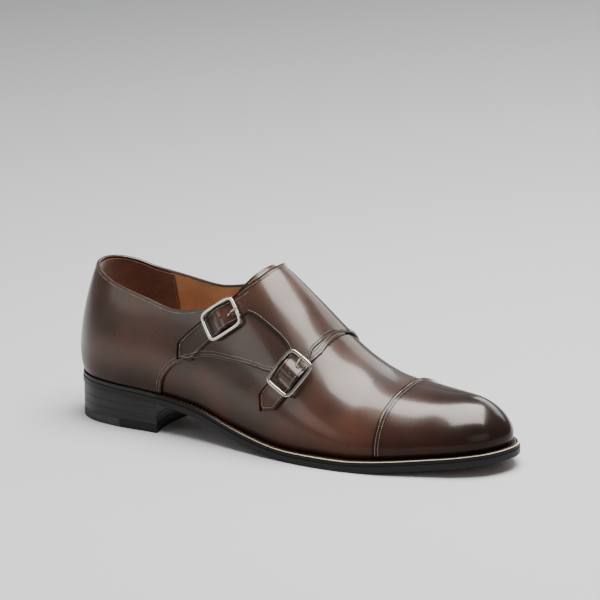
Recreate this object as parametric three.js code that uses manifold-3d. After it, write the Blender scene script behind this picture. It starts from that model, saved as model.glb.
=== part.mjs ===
import * as THREE from "three";
import { mergeVertices } from "three/addons/utils/BufferGeometryUtils.js";
import Module from "manifold-3d";

// A man's right double monk strap shoe with a toe cap, on a welted leather sole and a stacked heel.
// Millimetres. While it is worked out, x runs from the back of the heel to the toe, y towards the
// inner side of the foot and z up from the floor. At the end it is centred over its own base.

// ---------------------------------------------------------------- driving dimensions
const LENGTH = 306; // outsole, heel to toe
const BALL_WIDTH = 102; // outsole across the ball
const HEEL_HEIGHT = 21.8; // floor to the underside of the outsole at the back
const INSTEP_HEIGHT = 88; // of the last over the feather line; the ridge is a share of it

const OUTSOLE = 4; // thickness of each layer
const WELT = 2.2;
const INSOLE = 3.4;
const WALL = 2.2; // upper leather and lining together
const CAP = 1.3;
const FLAP = 1.7;
const TONGUE = 1.8;
const GAP = 0.3; // between pieces that meet
const LAP = 0.45; // between the upper and what lies on it

const mm = (share, size) => (share / 100) * size;
const radians = THREE.MathUtils.degToRad;

// ---------------------------------------------------------------- tables
// Outline of the outsole: per cent of the length, and of the ball width to each side.
const SOLE_PLAN = [
  { at: 1.5, outer: 15.5, inner: 15 },
  { at: 6, outer: 27, inner: 27.5 },
  { at: 13, outer: 32.3, inner: 32 },
  { at: 23, outer: 33.3, inner: 31 },
  { at: 33, outer: 35.5, inner: 27 },
  { at: 43, outer: 41, inner: 26.5 },
  { at: 53, outer: 46.5, inner: 32.5 },
  { at: 62, outer: 49.3, inner: 41 },
  { at: 70, outer: 49, inner: 48 },
  { at: 78, outer: 44.8, inner: 48 },
  { at: 86, outer: 36.3, inner: 41 },
  { at: 93, outer: 27.5, inner: 31 },
  { at: 98, outer: 15, inner: 18.5 },
];
const TOE_TIP = 3.7; // how far the tip stands towards the inner side

// Side view: the outsole's underside in per cent of the heel height, the ridge of the last over
// the feather line in per cent of the instep height, the ridge's y in millimetres, and how far
// the outsole stands out past the upper.
const SIDE_VIEW = [
  { at: 0, lift: 100, ridge: 105, spine: 0, margin: 2 },
  { at: 12, lift: 95, ridge: 106, spine: 0, margin: 2 },
  { at: 23, lift: 86, ridge: 110, spine: 0, margin: 2.2 },
  { at: 33, lift: 68, ridge: 113, spine: 1, margin: 2.6 },
  { at: 43, lift: 33, ridge: 112, spine: 2, margin: 3.4 },
  { at: 48, lift: 18, ridge: 107, spine: 3, margin: 4 },
  { at: 55, lift: 3, ridge: 91, spine: 3, margin: 4.6 },
  { at: 61, lift: 0, ridge: 72, spine: 4, margin: 5 },
  { at: 66, lift: 0, ridge: 58, spine: 4, margin: 5.4 },
  { at: 71, lift: 0, ridge: 48.5, spine: 4, margin: 5.5 },
  { at: 79, lift: 8, ridge: 40, spine: 4, margin: 5.5 },
  { at: 88, lift: 20, ridge: 35, spine: 4, margin: 5.5 },
  { at: 100, lift: 38, ridge: 32, spine: 4, margin: 5.5 },
];

// Height of the top line over the floor, on the outer and the inner side.
const TOP_LINE = [
  { at: 0, outer: 100, inner: 100.5 },
  { at: 4, outer: 97, inner: 97 },
  { at: 12, outer: 90, inner: 90 },
  { at: 20, outer: 84, inner: 86 },
  { at: 28, outer: 79, inner: 83.5 },
  { at: 35, outer: 82.5, inner: 87 },
  { at: 41, outer: 89.5, inner: 91 },
  { at: 45, outer: 98.5, inner: 98.5 },
  { at: 47.5, outer: 107, inner: 107 },
];

// The instep flap, across the shoe: degrees over the ridge, outer side first, and in per cent of
// the length where its top edge and its front edge cross there.
const FLAP_EDGES = [
  { across: -43, top: 39.8, front: 59.1 },
  { across: -34, top: 43, front: 59.5 },
  { across: -24, top: 45.5, front: 60 },
  { across: -10, top: 46.8, front: 60.6 },
  { across: 0, top: 47.2, front: 61.4 },
  { across: 12, top: 46.8, front: 61.6 },
  { across: 28, top: 45, front: 61.2 },
  { across: 44, top: 40.5, front: 59.5 },
];
// The tongue's top edge stands out past it, and the rest lies under it.
const TONGUE_EDGES = [
  { across: -40, top: 39.6 },
  { across: -25, top: 42.8 },
  { across: 0, top: 44.8 },
  { across: 25, top: 42.8 },
  { across: 40, top: 39.6 },
];
const TONGUE_FRONT = 64; // per cent of the length
const TONGUE_SLACK = 1; // between the upper and the tongue

// Middle line of each strap on the outer side: per cent of the length and degrees up from the
// feather line, from under the flap to the point.
const STRAPS = {
  upper: [
    { at: 44, up: 50 },
    { at: 41.7, up: 42.7 },
    { at: 39.3, up: 37 },
    { at: 34.8, up: 27.1 },
    { at: 29.5, up: 15.6 },
  ],
  lower: [
    { at: 58.5, up: 55.1 },
    { at: 58, up: 46.8 },
    { at: 57, up: 37.2 },
    { at: 54.6, up: 25.2 },
    { at: 51.2, up: 12.5 },
  ],
};
const BUCKLE_SHARE = { upper: 0.44, lower: 0.51 }; // where along its strap each buckle sits

// A smooth curve through one column of a table, at a place on the table's own scale.
function column(table, name, key = "at", unit = LENGTH / 100) {
  const xs = table.map((row) => row[key] * unit);
  const ys = table.map((row) => row[name]);
  const last = xs.length - 1;
  const slope = ys.map((_, k) => {
    const a = Math.max(k - 1, 0);
    const b = Math.min(k + 1, last);
    return (ys[b] - ys[a]) / (xs[b] - xs[a]);
  });
  return (x) => {
    const k = x >= xs[last] ? last - 1 : Math.max(xs.findIndex((v) => v > x) - 1, 0);
    const step = xs[k + 1] - xs[k];
    const t = THREE.MathUtils.clamp((x - xs[k]) / step, 0, 1);
    const bend = step * t * (1 - t) * (slope[k] * (1 - t) - slope[k + 1] * t);
    return ys[k] + (ys[k + 1] - ys[k]) * t * t * (3 - 2 * t) + bend;
  };
}
const liftShare = column(SIDE_VIEW, "lift");
const ridgeShare = column(SIDE_VIEW, "ridge");
const spine = column(SIDE_VIEW, "spine");
const margin = column(SIDE_VIEW, "margin");
const topLine = { outer: column(TOP_LINE, "outer"), inner: column(TOP_LINE, "inner") };
const flapTop = column(FLAP_EDGES, "top", "across", 1);
const flapFront = column(FLAP_EDGES, "front", "across", 1);
const tongueTop = column(TONGUE_EDGES, "top", "across", 1);

const underside = (x) => mm(Math.max(liftShare(x), 0), HEEL_HEIGHT);
const soleTop = (x) => underside(x) + OUTSOLE;
const weltFoot = (x) => soleTop(x) + GAP;
const weltTop = (x) => weltFoot(x) + WELT;
const feather = (x) => weltTop(x) + GAP;
const ridge = (x) => mm(ridgeShare(x), INSTEP_HEIGHT);

// ---------------------------------------------------------------- plan outlines
const OUTER = -1; // the outer side of a right foot is at -y
const INNER = 1;

const planPoints = (side, name) =>
  SOLE_PLAN.map((row) => new THREE.Vector3(mm(row.at, LENGTH), side * mm(row[name], BALL_WIDTH), 0));
const plan = new THREE.CatmullRomCurve3(
  [
    new THREE.Vector3(0, 0, 0),
    ...planPoints(OUTER, "outer"),
    new THREE.Vector3(LENGTH, TOE_TIP, 0),
    ...planPoints(INNER, "inner").reverse(),
  ],
  true,
);
const PLAN_STEPS = 400;

// The outsole's outline moved inwards by inset(x).
function outline(inset) {
  return Array.from({ length: PLAN_STEPS }, (_, k) => {
    const point = plan.getPoint(k / PLAN_STEPS);
    const along = plan.getTangent(k / PLAN_STEPS);
    const inwards = new THREE.Vector2(-along.y, along.x);
    return new THREE.Vector2(point.x, point.y).addScaledVector(inwards, inset(point.x));
  });
}

// How far it is from a point inside an outline to its edge, in one direction.
function reach(loop, x, y, dx, dy) {
  let far = 0;
  loop.forEach((a, k) => {
    const b = loop[(k + 1) % loop.length];
    const ex = b.x - a.x;
    const ey = b.y - a.y;
    const cross = dx * ey - dy * ex;
    if (Math.abs(cross) < 1e-12) return;
    const t = ((a.x - x) * ey - (a.y - y) * ex) / cross;
    const s = ((a.x - x) * dy - (a.y - y) * dx) / cross;
    if (t > 0 && s >= 0 && s <= 1) far = Math.max(far, t);
  });
  return far;
}

// ---------------------------------------------------------------- rays
// Lines in plan from the spine out to the edge, at a station: 0 to 1 is a fan round the heel,
// 1 to 2 straight across the quarters and vamp, and 2 to 3 leans forward into the toe.
const HEEL_CENTRE = mm(12, LENGTH);
const TOE_START = mm(72, LENGTH);
const TOE_END = mm(87, LENGTH);
const TOE_TRAVEL = 0.93; // share of the toe's rays over which their feet travel

function ray(station) {
  if (station < 1) return { x: HEEL_CENTRE, turn: Math.PI - (Math.PI / 2) * station };
  if (station < 2) return { x: HEEL_CENTRE + (TOE_START - HEEL_CENTRE) * (station - 1), turn: Math.PI / 2 };
  const t = station - 2;
  const travel = Math.min(t / TOE_TRAVEL, 1);
  return {
    x: TOE_START + (TOE_END - TOE_START) * (1 - (1 - travel) ** 1.6),
    turn: (Math.PI / 2) * (1 - t ** 1.5),
  };
}
const stationAt = (x) => 1 + (x - HEEL_CENTRE) / (TOE_START - HEEL_CENTRE);
const spread = (from, to, steps) => Array.from({ length: steps }, (_, k) => from + ((to - from) * k) / steps);

const THROAT = mm(47.5, LENGTH);
const CLIMB_START = mm(38, LENGTH); // from here the collar climbs towards the throat
const STATIONS = [
  ...spread(0, 1, 8),
  ...spread(1, stationAt(CLIMB_START), 7),
  ...spread(1, 0, 8).map((t) => stationAt(THROAT + (CLIMB_START - THROAT) * t ** 2)),
  ...spread(stationAt(THROAT), 2, 6),
  ...spread(2, 3, 13),
  3,
];
const FLAT = { from: stationAt(mm(61, LENGTH)), to: stationAt(mm(71, LENGTH)) }; // of the forepart
const SOLE_STATIONS = [
  ...spread(0, 1, 8),
  ...spread(1, FLAT.from, 12),
  ...spread(FLAT.from, FLAT.to, 2),
  ...spread(FLAT.to, 3, 13),
  3,
];

// ---------------------------------------------------------------- the last
const featherEdge = outline(margin);
const soleEdge = outline(() => 0);
const FULLNESS = 2.1; // of the cross sections: 2 is an ellipse, more is squarer
const SWELL = 2.6; // how far the wall swells out over the feather line
const SWELL_HEIGHT = 20;
const RIGHT_ANGLE = 90;

const distances = new Map();
function edgeDistance(loop, station, side) {
  if (!distances.has(loop)) distances.set(loop, new Map());
  const known = distances.get(loop);
  const key = `${station} ${side}`;
  if (!known.has(key)) {
    const { x, turn } = ray(station);
    known.set(key, reach(loop, x, spine(x), Math.cos(turn), side * Math.sin(turn)));
  }
  return known.get(key);
}

// A point of the last at a station, `up` degrees from the feather line (0) to the ridge (90),
// with the whole form grown by `out`.
function lasted(station, side, up, out) {
  const { x, turn } = ray(station);
  const rise = Math.sin(radians(up));
  const wide = Math.max(Math.cos(radians(up)), 0) ** (2 / FULLNESS);
  const far = edgeDistance(featherEdge, station, side);
  const height = (ridge(x) + out) * rise;
  const peak = Math.min(SWELL_HEIGHT, ridge(x) * 0.3);
  const swell = SWELL * (height / peak) * Math.exp(1 - height / peak);
  const r = (far + out + swell) * wide;
  const px = x + r * Math.cos(turn);
  const py = spine(x) + side * r * Math.sin(turn);
  return new THREE.Vector3(px, py, feather(px) + (ridge(px) + out) * rise);
}

// The collar's edge at a station, in degrees up, or the ridge where the upper is closed.
const COLLAR_LEAN = 30;
function collar(station, side) {
  const { x, turn } = ray(station);
  if (x >= THROAT - 1e-6) return RIGHT_ANGLE;
  const at = turn > Math.PI / 2 ? x + COLLAR_LEAN * Math.cos(turn) : x;
  const height = side === OUTER ? topLine.outer(at) : topLine.inner(at);
  const share = (height - feather(at)) / ridge(x);
  return THREE.MathUtils.radToDeg(Math.asin(Math.min(share, 0.999)));
}

// ---------------------------------------------------------------- closed solids
// Collects quads, merges their corners and drops the ones that fold to nothing.
class Skin {
  constructor() {
    this.corners = [];
  }
  quad(a, b, c, d) {
    this.corners.push(a, b, c, a, c, d);
  }
  solid() {
    const loose = new THREE.BufferGeometry().setFromPoints(this.corners);
    const merged = mergeVertices(loose, 1e-3);
    const index = Array.from(merged.index.array);
    const kept = [];
    for (let t = 0; t < index.length; t += 3) {
      const [a, b, c] = index.slice(t, t + 3);
      if (a !== b && b !== c && c !== a) kept.push(a, b, c);
    }
    merged.setIndex(kept);
    return merged;
  }
}

// A slab between two sheets of a grid: face(a, b, outside) is a corner, a and b from 0 to 1.
// Where its end at a = 1 folds together on the middle line, it needs no wall there.
function slab(stepsA, stepsB, face, folded = false) {
  const skin = new Skin();
  const at = (i, j, outside) => face(i / stepsA, j / stepsB, outside);
  for (let i = 0; i < stepsA; i++) {
    for (let j = 0; j < stepsB; j++) {
      skin.quad(at(i, j, true), at(i + 1, j, true), at(i + 1, j + 1, true), at(i, j + 1, true));
      skin.quad(at(i, j, false), at(i, j + 1, false), at(i + 1, j + 1, false), at(i + 1, j, false));
    }
    skin.quad(at(i, 0, true), at(i, 0, false), at(i + 1, 0, false), at(i + 1, 0, true));
    skin.quad(at(i, stepsB, true), at(i + 1, stepsB, true), at(i + 1, stepsB, false), at(i, stepsB, false));
  }
  for (let j = 0; j < stepsB; j++) {
    skin.quad(at(0, j, true), at(0, j + 1, true), at(0, j + 1, false), at(0, j, false));
    if (folded) continue;
    skin.quad(at(stepsA, j, true), at(stepsA, j, false), at(stepsA, j + 1, false), at(stepsA, j + 1, true));
  }
  return skin.solid();
}

// Joins and cuts of closed solids.
const wasm = await Module();
wasm.setup();
function toManifold(geometry) {
  return new wasm.Manifold(
    new wasm.Mesh({
      numProp: 3,
      vertProperties: Float32Array.from(geometry.attributes.position.array),
      triVerts: Uint32Array.from(geometry.index.array),
    }),
  );
}
function toGeometry(manifold) {
  const mesh = manifold.getMesh();
  const geometry = new THREE.BufferGeometry();
  geometry.setAttribute("position", new THREE.BufferAttribute(mesh.vertProperties, mesh.numProp));
  geometry.setIndex(Array.from(mesh.triVerts));
  return geometry;
}

// ---------------------------------------------------------------- upper
// The whole way round: the outer half from heel to toe, then the inner half back to the heel.
const allRound = (stations) => [
  ...stations.map((station) => ({ station, side: OUTER })),
  ...stations.slice(1, -1).toReversed().map((station) => ({ station, side: INNER })),
];

const UPPER_ROWS = 10;
function upper() {
  const skin = new Skin();
  const halves = allRound(STATIONS);
  const point = (k, row, out) => {
    const { station, side } = halves[k % halves.length];
    return lasted(station, side, collar(station, side) * (row / UPPER_ROWS), out);
  };
  const closed = (k) => collar(halves[k % halves.length].station, OUTER) === RIGHT_ANGLE;
  for (let k = 0; k < halves.length; k++) {
    for (let row = 0; row < UPPER_ROWS; row++) {
      skin.quad(point(k, row, 0), point(k + 1, row, 0), point(k + 1, row + 1, 0), point(k, row + 1, 0));
      skin.quad(
        point(k, row, -WALL),
        point(k, row + 1, -WALL),
        point(k + 1, row + 1, -WALL),
        point(k + 1, row, -WALL),
      );
    }
    skin.quad(point(k, 0, 0), point(k, 0, -WALL), point(k + 1, 0, -WALL), point(k + 1, 0, 0));
    const top = UPPER_ROWS;
    if (!closed(k) || !closed(k + 1)) {
      skin.quad(point(k, top, 0), point(k + 1, top, 0), point(k + 1, top, -WALL), point(k, top, -WALL));
    }
  }
  return skin.solid();
}

// ---------------------------------------------------------------- toe cap
// Lies on the upper from a straight seam to the toe. `across` runs over the ridge, -1 on the
// outer feather line to 1 on the inner.
const CAP_SEAM = 2.137; // the station of the seam at the feather line
const CAP_BOW = 0.06; // how far forward the seam runs at the ridge
function toeCap() {
  const face = (a, b, outside) => {
    const across = 2 * b - 1;
    const up = RIGHT_ANGLE * (1 - Math.abs(across));
    const from = CAP_SEAM + CAP_BOW * Math.sin(radians(up)) ** 6;
    return lasted(from + (3 - from) * a, across < 0 ? OUTER : INNER, up, outside ? LAP + CAP : LAP);
  };
  return slab(12, 18, face, true);
}

// ---------------------------------------------------------------- instep flap, straps and tongue
// A point over the ridge: `across` is in degrees from it, less than 0 on the outer side.
const overRidge = (x, across, out) =>
  lasted(stationAt(x), across < 0 ? OUTER : INNER, RIGHT_ANGLE - Math.abs(across), out);

function flapBody() {
  const from = FLAP_EDGES[0].across;
  const to = FLAP_EDGES[FLAP_EDGES.length - 1].across;
  return slab(8, 14, (a, b, outside) => {
    const across = from + (to - from) * b;
    const x = mm(flapTop(across) + (flapFront(across) - flapTop(across)) * a, LENGTH);
    return overRidge(x, across, outside ? LAP + FLAP : LAP);
  });
}

function tongue() {
  const from = TONGUE_EDGES[0].across;
  const to = TONGUE_EDGES[TONGUE_EDGES.length - 1].across;
  return slab(8, 10, (a, b, outside) => {
    const across = from + (to - from) * b;
    const x = mm(tongueTop(across) + (TONGUE_FRONT - tongueTop(across)) * a, LENGTH);
    const depth = WALL + TONGUE_SLACK;
    return overRidge(x, across, outside ? -depth : -depth - TONGUE);
  });
}

// The tangent frame of a strap's middle line on the outer side, at a share of its length: the
// point on the last, the way towards the flap, the way across and the normal.
const STRAP_WIDTH = 14.2;
const STRAP_POINT = 4.5; // length of the pointed end
function strapLine(rows) {
  const points = rows.map((row) => new THREE.Vector3(mm(row.at, LENGTH), row.up, 0));
  return new THREE.CatmullRomCurve3(points);
}
const onSide = (x, up, out = 0) => lasted(stationAt(x), OUTER, up, out);

function strapFrame(line, share) {
  const { x, y: up } = line.getPoint(share);
  const nudge = 0.05;
  const origin = onSide(x, up);
  const alongX = onSide(x + nudge, up).sub(origin).divideScalar(nudge);
  const alongUp = onSide(x, up + nudge).sub(origin).divideScalar(nudge);
  const normal = new THREE.Vector3().crossVectors(alongX, alongUp).normalize();
  const course = line.getTangent(share);
  const towardsTip = alongX.clone().multiplyScalar(course.x).addScaledVector(alongUp, course.y);
  const towardsFlap = towardsTip.normalize().negate();
  const across = new THREE.Vector3().crossVectors(normal, towardsFlap);
  const [xx, xu, uu] = [alongX.dot(alongX), alongX.dot(alongUp), alongUp.dot(alongUp)];
  const [ax, au] = [across.dot(alongX), across.dot(alongUp)];
  const det = xx * uu - xu * xu;
  const stepX = (ax * uu - au * xu) / det;
  const stepUp = (au * xx - ax * xu) / det;
  return { x, up, origin, normal, towardsFlap, across, stepX, stepUp };
}

// How the strap climbs over the buckle's centre bar, and how far to each side of it.
const CLIMB = 3.35;
const CLIMB_REACH = 11.2;

function strap(line, seat) {
  const half = STRAP_WIDTH / 2;
  const tip = strapFrame(line, 1);
  const length = strapFrame(line, 0).origin.distanceTo(tip.origin);
  return slab(22, 2, (a, b, outside) => {
    const v = half * (1 - 2 * b);
    const pointed = 1 - (STRAP_POINT / length) * (Math.abs(v) / half);
    const frame = strapFrame(line, a * pointed);
    const place = onSide(frame.x + v * frame.stepX, frame.up + v * frame.stepUp);
    const from = place.clone().sub(seat.origin).dot(seat.towardsFlap);
    const climb = Math.abs(from) < CLIMB_REACH ? CLIMB * Math.cos((Math.PI / 2) * (from / CLIMB_REACH)) ** 2 : 0;
    return place.addScaledVector(frame.normal, LAP + climb + (outside ? FLAP : 0));
  });
}

// ---------------------------------------------------------------- buckles
const FRAME_LENGTH = 26.4; // along the strap, outside
const FRAME_WIDTH = 20.6; // across it, outside
const FRAME_CORNER = 4;
const FRAME_BAR = { wide: 2, thick: 1.8 };
const FRAME_STAND = 3.7; // middle of the frame over the upper
const FRAME_BOW = 0.25; // the frame curves down a little at both ends
const CENTRE_BAR = { radius: 0.6, stand: 2.55 };
const PRONG = 0.5; // radius

// A place in a buckle's own frame: along the strap towards the flap, across, and off the upper.
const inSeat = (seat, along, across, stand) =>
  seat.origin
    .clone()
    .addScaledVector(seat.towardsFlap, along)
    .addScaledVector(seat.across, across)
    .addScaledVector(seat.normal, stand);

// A closed or open tube through points of a seat, with a half width and half height.
function tube(seat, path, wide, thick, sides, closed) {
  const count = path.length;
  const ring = (k) => {
    const p = path[k % count];
    const before = path[closed ? (k - 1 + count) % count : Math.max(k - 1, 0)];
    const after = path[closed ? (k + 1) % count : Math.min(k + 1, count - 1)];
    const course = after.clone().sub(before).normalize();
    const sideways = new THREE.Vector3().crossVectors(new THREE.Vector3(0, 0, 1), course);
    if (sideways.length() < 0.2) sideways.set(0, 1, 0);
    sideways.normalize();
    const upwards = new THREE.Vector3().crossVectors(course, sideways);
    return Array.from({ length: sides }, (_, j) => {
      const turn = (2 * Math.PI * j) / sides;
      const q = p.clone();
      q.addScaledVector(sideways, wide * Math.cos(turn)).addScaledVector(upwards, thick * Math.sin(turn));
      return inSeat(seat, q.x, q.y, q.z);
    });
  };
  const skin = new Skin();
  const rings = Array.from({ length: closed ? count + 1 : count }, (_, k) => ring(k));
  for (let k = 0; k + 1 < rings.length; k++) {
    for (let j = 0; j < sides; j++) {
      const next = (j + 1) % sides;
      skin.quad(rings[k][j], rings[k][next], rings[k + 1][next], rings[k + 1][j]);
    }
  }
  if (!closed) {
    for (let j = 1; j + 1 < sides; j++) {
      const end = rings[count - 1];
      skin.quad(rings[0][0], rings[0][j + 1], rings[0][j], rings[0][j]);
      skin.quad(end[0], end[j], end[j + 1], end[j + 1]);
    }
  }
  return skin.solid();
}

function buckleFrame(seat) {
  const halfLength = (FRAME_LENGTH - FRAME_BAR.wide) / 2;
  const halfWidth = (FRAME_WIDTH - FRAME_BAR.wide) / 2;
  const corner = new THREE.Shape();
  corner.moveTo(halfLength, 0);
  corner.lineTo(halfLength, halfWidth - FRAME_CORNER);
  corner.absarc(halfLength - FRAME_CORNER, halfWidth - FRAME_CORNER, FRAME_CORNER, 0, Math.PI / 2);
  corner.absarc(FRAME_CORNER - halfLength, halfWidth - FRAME_CORNER, FRAME_CORNER, Math.PI / 2, Math.PI);
  corner.absarc(FRAME_CORNER - halfLength, FRAME_CORNER - halfWidth, FRAME_CORNER, Math.PI, 1.5 * Math.PI);
  corner.absarc(halfLength - FRAME_CORNER, FRAME_CORNER - halfWidth, FRAME_CORNER, 1.5 * Math.PI, 2 * Math.PI);
  corner.closePath();
  const path = corner.getSpacedPoints(32).slice(0, -1).map((p) => {
    const bow = FRAME_BOW * (p.x / halfLength) ** 2;
    return new THREE.Vector3(p.x, p.y, FRAME_STAND - bow);
  });
  const frame = tube(seat, path, FRAME_BAR.wide / 2, FRAME_BAR.thick / 2, 6, true);
  const ends = [-halfWidth, halfWidth].map((v) => new THREE.Vector3(0, v, CENTRE_BAR.stand));
  const bar = tube(seat, ends, CENTRE_BAR.radius, CENTRE_BAR.radius, 8, false);
  return toGeometry(toManifold(frame).add(toManifold(bar)));
}

// The prong curls under the centre bar, comes up through the strap and rests on the frame.
function prong(seat, radius) {
  const curl = CENTRE_BAR.radius + GAP + PRONG;
  const hook = spread(190, 350, 6).map((turn) => {
    const angle = radians(turn);
    return new THREE.Vector3(curl * Math.cos(angle), 0, CENTRE_BAR.stand + curl * Math.sin(angle));
  });
  const restsAt = FRAME_STAND - FRAME_BOW + FRAME_BAR.thick / 2 + GAP + PRONG;
  const reachOut = [
    { along: 2.6, stand: 2.1 },
    { along: 5, stand: 2.3 },
    { along: 7.2, stand: 3.3 },
    { along: 9, stand: 4.6 },
    { along: 10.8, stand: restsAt },
    { along: FRAME_LENGTH / 2, stand: restsAt },
  ].map((row) => new THREE.Vector3(row.along, 0, row.stand));
  const curve = new THREE.CatmullRomCurve3([...hook, ...reachOut]);
  return tube(seat, curve.getSpacedPoints(16), radius, radius, 6, false);
}

// ---------------------------------------------------------------- sole layers
// A plate between two heights. Each spoke runs from a hub to a rim, low and high.
function plate(spokes, low, high, rows) {
  const skin = new Skin();
  const point = (k, row, upper) => {
    const spoke = spokes[k % spokes.length];
    const p = (upper ? spoke.high : spoke.low).clone().lerp(spoke.hub, row / rows);
    return new THREE.Vector3(p.x, p.y, upper ? high(p.x) : low(p.x));
  };
  for (let k = 0; k < spokes.length; k++) {
    for (let row = 0; row < rows; row++) {
      skin.quad(
        point(k, row, true),
        point(k + 1, row, true),
        point(k + 1, row + 1, true),
        point(k, row + 1, true),
      );
      skin.quad(
        point(k, row, false),
        point(k, row + 1, false),
        point(k + 1, row + 1, false),
        point(k + 1, row, false),
      );
    }
    skin.quad(point(k, 0, false), point(k + 1, 0, false), point(k + 1, 0, true), point(k, 0, true));
  }
  return skin.solid();
}

// Spokes from the spine to an outline, all the way round.
function soleSpokes(edge) {
  return allRound(SOLE_STATIONS).map(({ station, side }) => {
    const { x, turn } = ray(station);
    const hub = new THREE.Vector2(x, spine(x));
    const way = new THREE.Vector2(Math.cos(turn), side * Math.sin(turn));
    const rim = hub.clone().addScaledVector(way, edgeDistance(edge, station, side));
    return { hub, low: rim, high: rim };
  });
}

// ---------------------------------------------------------------- welt and seat rand
// Strips between two outlines, from station to station on both sides.
const BREAST = mm(23.6, LENGTH); // front of the heel, at its sides
const WELT_INSET = 0.4;
const weltOuter = outline(() => WELT_INSET);
const weltInner = outline((x) => margin(x) + WALL);

function strip(halves) {
  return slab(halves.length - 1, 1, (a, b, outside) => {
    const { station, side } = halves[Math.round(a * (halves.length - 1))];
    const { x, turn } = ray(station);
    const far = edgeDistance(b === 0 ? weltOuter : weltInner, station, side);
    const px = x + far * Math.cos(turn);
    return new THREE.Vector3(px, spine(x) + side * far * Math.sin(turn), outside ? weltTop(px) : weltFoot(px));
  });
}
function strips() {
  const cut = stationAt(BREAST);
  const joint = GAP / 2 / (TOE_START - HEEL_CENTRE);
  const fore = SOLE_STATIONS.filter((s) => s > cut + joint);
  const aft = SOLE_STATIONS.filter((s) => s < cut - joint);
  const bothWays = (list) => [
    ...list.map((station) => ({ station, side: OUTER })),
    ...list.toReversed().slice(1).map((station) => ({ station, side: INNER })),
  ];
  const heelwards = bothWays([cut - joint, ...aft.toReversed()]);
  return {
    welt: strip(bothWays([cut + joint, ...fore])),
    rand: strip(heelwards.map(({ station, side }) => ({ station, side: -side }))),
  };
}

// ---------------------------------------------------------------- heel
// Lifts between the outsole and the floor. They draw in towards the floor, and the breast is
// hollowed back in the middle.
const BREAST_HOLLOW = 5.5;
const TOP_PIECE = 5.4; // the layer that wears
const LIFT = 4.9;
const TAPER = -0.023; // millimetres inwards for each one down
const RUBBER_JOINT = { at: 38, slant: 0.16 }; // where the rubber rear half of the top piece starts
const HEEL_STEPS = 40;
const BREAST_STEPS = 8;

const heelInset = (z) => 0.5 + TAPER * (HEEL_HEIGHT - z);

// The closed outline of the heel at a height: round the back, then across the breast.
function heelLoop(z) {
  const edge = outline(() => heelInset(z));
  const hub = new THREE.Vector2(HEEL_CENTRE, 0);
  const corner = (side) => {
    const x = BREAST - TAPER * (HEEL_HEIGHT - z);
    return new THREE.Vector2(x, side * reach(edge, x, 0, 0, side));
  };
  const [outer, inner] = [corner(OUTER), corner(INNER)];
  const start = outer.clone().sub(hub).angle();
  const end = inner.clone().sub(hub).angle();
  const back = Array.from({ length: HEEL_STEPS + 1 }, (_, k) => {
    const turn = start + (end - start) * (k / HEEL_STEPS);
    const way = new THREE.Vector2(Math.cos(turn), Math.sin(turn));
    return hub.clone().addScaledVector(way, reach(edge, hub.x, hub.y, way.x, way.y));
  });
  const front = Array.from({ length: BREAST_STEPS - 1 }, (_, k) => {
    const t = (k + 1) / BREAST_STEPS;
    const hollow = BREAST_HOLLOW * 4 * t * (1 - t);
    return inner.clone().lerp(outer, t).sub(new THREE.Vector2(hollow, 0));
  });
  return [...back.reverse(), ...front.reverse()].reverse();
}

function heelLayer(low, high, rows) {
  const hub = new THREE.Vector2(HEEL_CENTRE, 0);
  const [lowLoop, highLoop] = [heelLoop(low), heelLoop(Math.min(high, HEEL_HEIGHT))];
  const spokes = lowLoop.map((rim, k) => ({ hub, low: rim, high: highLoop[k] })).reverse();
  const top = (x) => Math.min(high, underside(x) - GAP);
  return plate(spokes, () => low, top, rows);
}

// The top piece is leather in front and rubber behind, with a slanted joint.
function topPieces() {
  const whole = toManifold(heelLayer(0, TOP_PIECE, 1));
  const side = 100;
  const half = (sign) => {
    const box = new THREE.BoxGeometry(side, side, side);
    box.deleteAttribute("normal");
    box.deleteAttribute("uv");
    const merged = mergeVertices(box);
    merged.translate((sign * (side + GAP)) / 2, 0, 0);
    merged.rotateZ(Math.atan(RUBBER_JOINT.slant));
    merged.translate(RUBBER_JOINT.at, 0, 0);
    return toGeometry(whole.intersect(toManifold(merged)));
  };
  return { leather: half(1), rubber: half(-1) };
}

// ---------------------------------------------------------------- assembly
const COLOUR = {
  calf: 0x4a3028,
  darkCalf: 0x231a18,
  suede: 0x7a4a30,
  insole: 0xb07a4a,
  soleLeather: 0x4f2a20,
  heelInk: 0x2c2a2d,
  rubber: 0x2c2c30,
  nickel: 0xc8c4bc,
};

const shoe = new THREE.Group();
function add(name, geometry, color, roughness, metalness = 0) {
  const material = new THREE.MeshStandardMaterial({ color, roughness, metalness });
  const mesh = new THREE.Mesh(geometry, material);
  mesh.name = name;
  shoe.add(mesh);
}

add("upper", upper(), COLOUR.calf, 0.35);
add("toe_cap", toeCap(), COLOUR.darkCalf, 0.25);
add("tongue", tongue(), COLOUR.suede, 0.6);

let flap = toManifold(flapBody());
for (const [name, rows] of Object.entries(STRAPS)) {
  const line = strapLine(rows);
  const seat = strapFrame(line, BUCKLE_SHARE[name]);
  flap = flap.add(toManifold(strap(line, seat)));
  flap = flap.subtract(toManifold(prong(seat, PRONG + GAP)));
  add(`buckle_${name}`, buckleFrame(seat), COLOUR.nickel, 0.2, 1);
  add(`prong_${name}`, prong(seat, PRONG), COLOUR.nickel, 0.2, 1);
}
add("instep_flap", toGeometry(flap), COLOUR.calf, 0.35);

const insoleEdge = outline((x) => margin(x) + WALL + GAP);
add("insole", plate(soleSpokes(insoleEdge), weltFoot, (x) => weltFoot(x) + INSOLE, 3), COLOUR.insole, 0.7);
const { welt, rand } = strips();
add("welt", welt, COLOUR.heelInk, 0.5);
add("seat_rand", rand, COLOUR.heelInk, 0.5);
add("outsole", plate(soleSpokes(soleEdge), underside, soleTop, 3), COLOUR.soleLeather, 0.45);

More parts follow.
